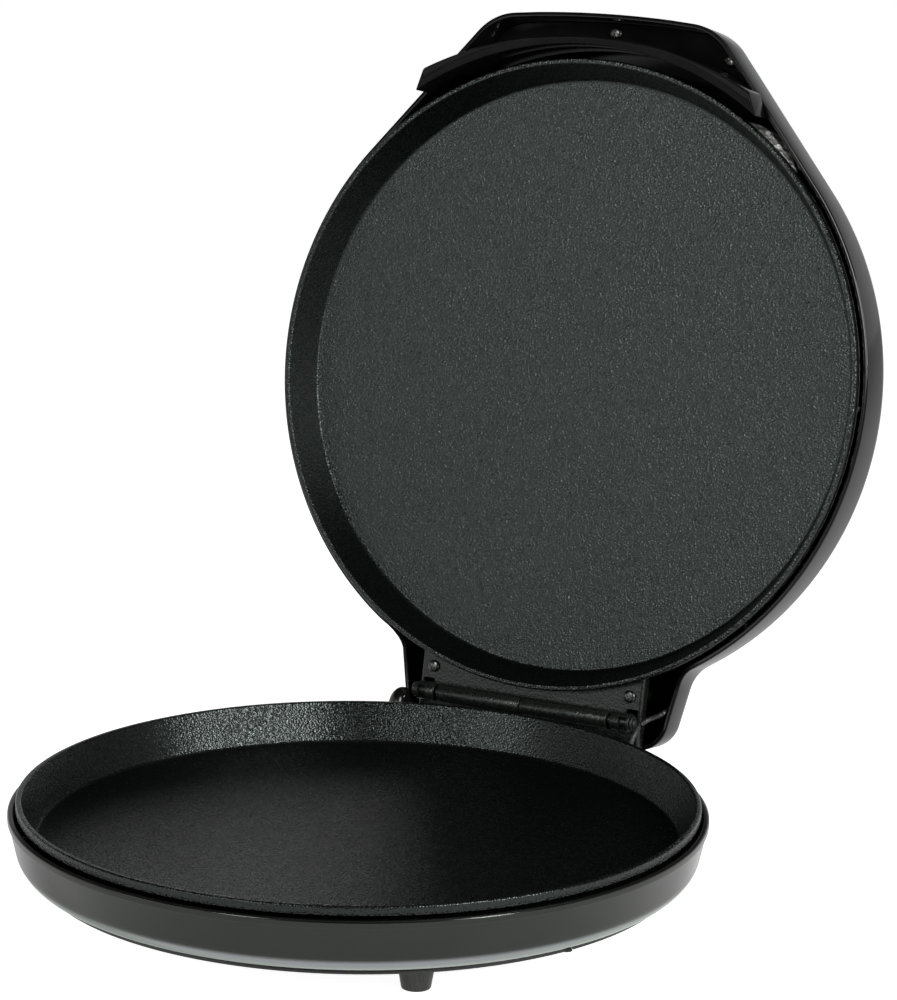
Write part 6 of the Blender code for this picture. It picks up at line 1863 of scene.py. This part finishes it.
def build_heaters(half, body, sign, surface):
    """Heater, straps, shield, thermostat and fuse of one half; sign points away from the food."""
    steel = bare_steel()
    tube = Form().tube(element_path(sign, surface), ELEMENT_TUBE, 24)
    finish_piece(tube, half + "_element_tube", body, steel, [half + "_heating_element"])
    flip = 0.0 if sign > 0 else math.pi
    places = []
    for angle in STRAP_ANGLES:
        spot = (*ring_place(ELEMENT_RADIUS, angle), surface + sign * GAP)
        places.append((spot, (flip, 0.0, math.radians(angle - 90.0))))
    finish_piece(copies(strap_form(), places, steel), half + "_element_straps", body, steel,
                 ["%s_element_strap_%d" % (half, number) for number in (1, 2, 3)])
    seat = surface + sign * (BOSS_LENGTH + GAP)
    dish = SHIELD_RADIUS - SHIELD_DISH
    thick = SHIELD_THICKNESS
    profile = softened([
        (SCREW_HOLE, 0.0), (BOSS_RADIUS, 0.0), (dish, SHIELD_CURL / 2), (SHIELD_RADIUS, -SHIELD_CURL),
        (SHIELD_RADIUS, -SHIELD_CURL + thick), (dish, SHIELD_CURL / 2 + thick), (BOSS_RADIUS, thick),
        (SCREW_HOLE, thick)], FILLET_FINE, 2)
    shield = Form().turned([(radius, seat + sign * height) for radius, height in profile], 160)
    finish_piece(shield, half + "_shield", body, bright_sheet(), [half + "_heat_shield"])
    screw = screw_form(thick + BORE_DEPTH - GAP, (SHIELD_SCREW_HEAD, SCREW_HEAD[1]))
    where = at(0.0, 0.0, seat + sign * (thick + GAP))
    if sign > 0:
        where = where @ Matrix.Rotation(math.pi, 4, "X")
    finish_piece(screw, half + "_shield_fixing", body, steel, [half + "_shield_screw"], where)
    radius, height, flange = THERMOSTAT
    start = surface + sign * GAP
    brim, shoulder, crown = THERMOSTAT_SHARES
    profile = softened([(0.0, 0.0), (flange, 0.0), (flange, height * brim), (radius, height * brim),
                        (radius, height * shoulder), (radius * crown, height), (0.0, height)],
                       [0.0, FILLET_FINE, FILLET_FINE, FILLET_SMALL, FILLET_PLAIN, FILLET_PLAIN, 0.0], 3)
    profile = [(run, start + sign * level) for run, level in profile]
    cap = Form().turned(profile, 64, at(*THERMOSTAT_PLACE, 0.0))
    finish_piece(cap, half + "_thermostat_cap", body, black_steel(), [half + "_thermostat"])
    where = at(*FUSE_PLACE, surface + sign * (GAP + FUSE[0])) @ upright()
    fuse = Form().rod(FUSE[0], FUSE[1], where, 32, FILLET_BROAD)
    finish_piece(fuse, half + "_fuse", body, ceramic(), [half + "_thermal_fuse"])


def build_terminal_block():
    place = at(0.0, BLOCK_PLACE_Y, cover_top() + GAP + BLOCK_SIZE[2] / 2)
    block = Form().block(BLOCK_SIZE, place, FILLET_WIDE)
    holes = Form()
    for side in (-1, 1):
        holes.rod(SCREW_HOLE, BLOCK_SIZE[2] + OVERRUN, place @ at(side * LEG_SPREAD, 0.0, 0.0), 32)
    block.cut(holes)
    finish_piece(block, "terminals", "base", ceramic(), ["terminal_block"])


def camera_axes():
    """Right, up and backward directions of the camera, roll included."""
    back = Vector((math.sin(CAMERA_AZIMUTH) * math.cos(CAMERA_ELEVATION),
                   -math.cos(CAMERA_AZIMUTH) * math.cos(CAMERA_ELEVATION), math.sin(CAMERA_ELEVATION)))
    right = Vector((math.cos(CAMERA_AZIMUTH), math.sin(CAMERA_AZIMUTH), 0.0))
    up = back.cross(right)
    turn = Matrix.Rotation(CAMERA_ROLL, 3, back)
    return turn @ right, turn @ up, back


def build_camera():
    data = bpy.data.cameras.new("product_camera")
    camera = linked("product_camera", data)
    data.sensor_width = CAMERA_SENSOR
    data.lens = bpy.context.scene.pizza_studio.lens
    data.shift_x, data.shift_y = CAMERA_SHIFT
    data.clip_start, data.clip_end = CAMERA_CLIP
    right, up, back = camera_axes()
    place = body_matrix("base") @ Vector(CAMERA_PLACE)
    turn = Matrix((right, up, back)).transposed().to_4x4()
    camera.matrix_world = Matrix.Translation(place) @ turn
    bpy.context.scene.camera = camera


def add_softbox(name, azimuth_deg, elevation_deg, distance, size, power):
    """A soft square lamp that faces the object from a direction; azimuth 0 is the front."""
    azimuth = math.radians(azimuth_deg)
    elevation = math.radians(elevation_deg)
    way = Vector((math.sin(azimuth) * math.cos(elevation), -math.cos(azimuth) * math.cos(elevation),
                  math.sin(elevation)))
    data = bpy.data.lights.new(name, "AREA")
    data.shape = "RECTANGLE"
    data.size, data.size_y = size
    data.energy = power
    lamp = linked(name, data)
    lamp.location = Vector((0.0, 0.0, SOFTBOX_AIM)) + way * distance
    lamp.rotation_euler = way.to_track_quat("Z", "Y").to_euler()


def build_world():
    """White to the camera; else a room with a bright horizon behind the object, dim in front and above."""
    studio = bpy.context.scene.pizza_studio
    world = bpy.data.worlds.new("studio_room")
    bpy.context.scene.world = world
    world.use_nodes = True
    tree = world.node_tree
    tree.nodes.clear()
    join = tree.links.new
    place = tree.nodes.new("ShaderNodeTexCoord").outputs["Generated"]
    facing = tree.nodes.new("ShaderNodeVectorMath")
    facing.operation = "DOT_PRODUCT"
    facing.inputs[1].default_value = (math.sin(CAMERA_AZIMUTH), -math.cos(CAMERA_AZIMUTH), 0.0)
    join(place, facing.inputs[0])
    around = ranged(tree, facing.outputs["Value"], ROOM_FACING, (studio.room_light, studio.front_light))
    overhead = ranged(tree, on_axis(tree, place, "Z"), ROOM_GLOW, (1.0, studio.ceiling_light))
    room = tree.nodes.new("ShaderNodeBackground")
    white = tree.nodes.new("ShaderNodeBackground")
    white.inputs["Color"].default_value = (1.0, 1.0, 1.0, 1.0)
    room.inputs["Color"].default_value = (1.0, 1.0, 1.0, 1.0)
    rays = tree.nodes.new("ShaderNodeLightPath")
    mix = tree.nodes.new("ShaderNodeMixShader")
    out = tree.nodes.new("ShaderNodeOutputWorld")
    join(computed(tree, "MULTIPLY", around, overhead), room.inputs["Strength"])
    join(rays.outputs["Is Camera Ray"], mix.inputs["Fac"])
    join(room.outputs["Background"], mix.inputs[1])
    join(white.outputs["Background"], mix.inputs[2])
    join(mix.outputs["Shader"], out.inputs["Surface"])


def floor_look():
    """Pale matt floor that keeps the shadow and meets the white background without a line."""
    made = bpy.data.materials.new("floor_look")
    made.use_nodes = True
    tree = made.node_tree
    shader = tree.nodes["Principled BSDF"]
    shader.inputs["Base Color"].default_value = (*bpy.context.scene.pizza_studio.floor, 1.0)
    shader.inputs["Roughness"].default_value = 0.9
    shader.inputs["Specular IOR Level"].default_value = 0.1
    lift = tree.nodes.new("ShaderNodeEmission")
    rays = tree.nodes.new("ShaderNodeLightPath")
    seen = computed(tree, "MULTIPLY", rays.outputs["Is Camera Ray"], FLOOR_LIFT_SHARE)
    share = computed(tree, "MULTIPLY_ADD", rays.outputs["Is Glossy Ray"], FLOOR_GLOSS_SHARE, seen)
    total = tree.nodes.new("ShaderNodeAddShader")
    tree.links.new(share, lift.inputs["Strength"])
    tree.links.new(shader.outputs["BSDF"], total.inputs[0])
    tree.links.new(lift.outputs["Emission"], total.inputs[1])
    tree.links.new(total.outputs["Shader"], tree.nodes["Material Output"].inputs["Surface"])
    return made


def build_stage():
    form = Form()
    corners = [form.bm.verts.new((x * FLOOR_HALF, y * FLOOR_HALF, 0.0))
               for x, y in ((-1, -1), (1, -1), (1, 1), (-1, 1))]
    form.bm.faces.new(corners)
    mesh = bpy.data.meshes.new("studio_floor")
    form.bm.to_mesh(mesh)
    form.bm.free()
    mesh.materials.append(floor_look())
    linked("studio_floor", mesh)
    studio = bpy.context.scene.pizza_studio
    for name, azimuth, elevation, distance, size in SOFTBOXES:
        add_softbox(name + "_softbox", azimuth, elevation, distance, size, getattr(studio, name + "_light"))
    build_world()
    build_camera()
    bpy.context.scene.view_settings.view_transform = "Standard"


class PIZZA_OT_plates(bpy.types.Operator):
    """Turn the two coated cooking plates"""
    bl_idname = "pizza.plates"
    bl_label = "Cooking Plates"

    def execute(self, context):
        build_plates()
        return {"FINISHED"}


class PIZZA_OT_housing(bpy.types.Operator):
    """Mould the base housing with its lip, shelf, ear and ribs"""
    bl_idname = "pizza.housing"
    bl_label = "Base Housing"

    def execute(self, context):
        build_housing()
        return {"FINISHED"}


class PIZZA_OT_cover(bpy.types.Operator):
    """Press the vented cover of the underside"""
    bl_idname = "pizza.cover"
    bl_label = "Underside Cover"

    def execute(self, context):
        build_cover()
        return {"FINISHED"}


class PIZZA_OT_feet(bpy.types.Operator):
    """Set the four feet and their pads"""
    bl_idname = "pizza.feet"
    bl_label = "Feet and Pads"

    def execute(self, context):
        build_feet()
        return {"FINISHED"}


class PIZZA_OT_base_hinge(bpy.types.Operator):
    """Build the base's hinge bracket, the pin and its clip"""
    bl_idname = "pizza.base_hinge"
    bl_label = "Hinge Bracket and Pin"

    def execute(self, context):
        build_base_hinge()
        return {"FINISHED"}


class PIZZA_OT_lid_hinge(bpy.types.Operator):
    """Build the lid's hinge channel with its knuckle and windowed lugs"""
    bl_idname = "pizza.lid_hinge"
    bl_label = "Hinge Channel"

    def execute(self, context):
        build_lid_hinge()
        return {"FINISHED"}


class PIZZA_OT_lid_shell(bpy.types.Operator):
    """Mould the lid shell with its visor, tail, posts and ribs"""
    bl_idname = "pizza.lid_shell"
    bl_label = "Lid Shell"

    def execute(self, context):
        build_lid_shell()
        return {"FINISHED"}


class PIZZA_OT_grip(bpy.types.Operator):
    """Mould the bowed grip under the visor"""
    bl_idname = "pizza.grip"
    bl_label = "Grip"

    def execute(self, context):
        build_grip()
        return {"FINISHED"}


class PIZZA_OT_screws(bpy.types.Operator):
    """Set every cross-recess screw of both bodies"""
    bl_idname = "pizza.screws"
    bl_label = "Screws"

    def execute(self, context):
        build_base_screws()
        build_lid_screws()
        return {"FINISHED"}


class PIZZA_OT_foil(bpy.types.Operator):
    """Wrap the crumpled foil round the upper plate"""
    bl_idname = "pizza.foil"
    bl_label = "Insulation Foil"

    def execute(self, context):
        build_foil()
        return {"FINISHED"}


class PIZZA_OT_lamps(bpy.types.Operator):
    """Set the two indicator lenses"""
    bl_idname = "pizza.lamps"
    bl_label = "Indicator Lamps"

    def execute(self, context):
        build_lamps()
        return {"FINISHED"}


class PIZZA_OT_leads(bpy.types.Operator):
    """Run the sleeved lead across the hinge, with its bush and the inlet gland"""
    bl_idname = "pizza.leads"
    bl_label = "Lead and Gland"

    def execute(self, context):
        build_leads()
        build_gland()
        return {"FINISHED"}


class PIZZA_OT_heaters(bpy.types.Operator):
    """Fit the heaters, shields, thermostats, fuses and terminals"""
    bl_idname = "pizza.heaters"
    bl_label = "Heaters"

    def execute(self, context):
        depth = sizes().plate_depth
        build_heaters("lower", "base", -1, -depth - LOWER_FLOOR)
        build_heaters("upper", "lid", 1, RIM_CLEARANCE + depth + UPPER_FLOOR)
        build_terminal_block()
        return {"FINISHED"}


class PIZZA_OT_stage(bpy.types.Operator):
    """Set up the floor, the soft light, the room and the camera"""
    bl_idname = "pizza.stage"
    bl_label = "Studio"

    def execute(self, context):
        build_stage()
        return {"FINISHED"}


OPERATORS = (
    PIZZA_OT_plates, PIZZA_OT_housing, PIZZA_OT_cover, PIZZA_OT_feet, PIZZA_OT_base_hinge,
    PIZZA_OT_lid_hinge, PIZZA_OT_lid_shell, PIZZA_OT_grip, PIZZA_OT_screws, PIZZA_OT_foil,
    PIZZA_OT_lamps, PIZZA_OT_leads, PIZZA_OT_heaters, PIZZA_OT_stage,
)


class PIZZA_PT_panel(bpy.types.Panel):
    """Lists the maker's sizes, finishes and build steps"""
    bl_idname = "PIZZA_PT_panel"
    bl_label = "Electric Pizza Maker"
    bl_space_type = "VIEW_3D"
    bl_region_type = "UI"
    bl_category = "Pizza Maker"

    def draw(self, context):
        layout = self.layout
        scene = context.scene
        for title, group in (("Sizes", scene.pizza_sizes), ("Finishes", scene.pizza_finishes),
                             ("Studio", scene.pizza_studio)):
            box = layout.box()
            box.label(text=title)
            for name in group.__annotations__:
                box.prop(group, name)
        steps = layout.box()
        steps.label(text="Build")
        for operator in OPERATORS:
            steps.operator(operator.bl_idname)


CLASSES = (PizzaSizes, PizzaFinishes, PizzaStudio) + OPERATORS + (PIZZA_PT_panel,)


def register():
    for item in CLASSES:
        bpy.utils.register_class(item)
    bpy.types.Scene.pizza_sizes = bpy.props.PointerProperty(type=PizzaSizes)
    bpy.types.Scene.pizza_finishes = bpy.props.PointerProperty(type=PizzaFinishes)
    bpy.types.Scene.pizza_studio = bpy.props.PointerProperty(type=PizzaStudio)


def unregister():
    del bpy.types.Scene.pizza_studio
    del bpy.types.Scene.pizza_finishes
    del bpy.types.Scene.pizza_sizes
    for item in reversed(CLASSES):
        bpy.utils.unregister_class(item)


def main():
    register()
    bpy.ops.pizza.plates()
    bpy.ops.pizza.housing()
    bpy.ops.pizza.cover()
    bpy.ops.pizza.feet()
    bpy.ops.pizza.base_hinge()
    bpy.ops.pizza.lid_hinge()
    bpy.ops.pizza.lid_shell()
    bpy.ops.pizza.grip()
    bpy.ops.pizza.screws()
    bpy.ops.pizza.foil()
    bpy.ops.pizza.lamps()
    bpy.ops.pizza.leads()
    bpy.ops.pizza.heaters()
    bpy.ops.pizza.stage()


if __name__ == "__main__":
    main()
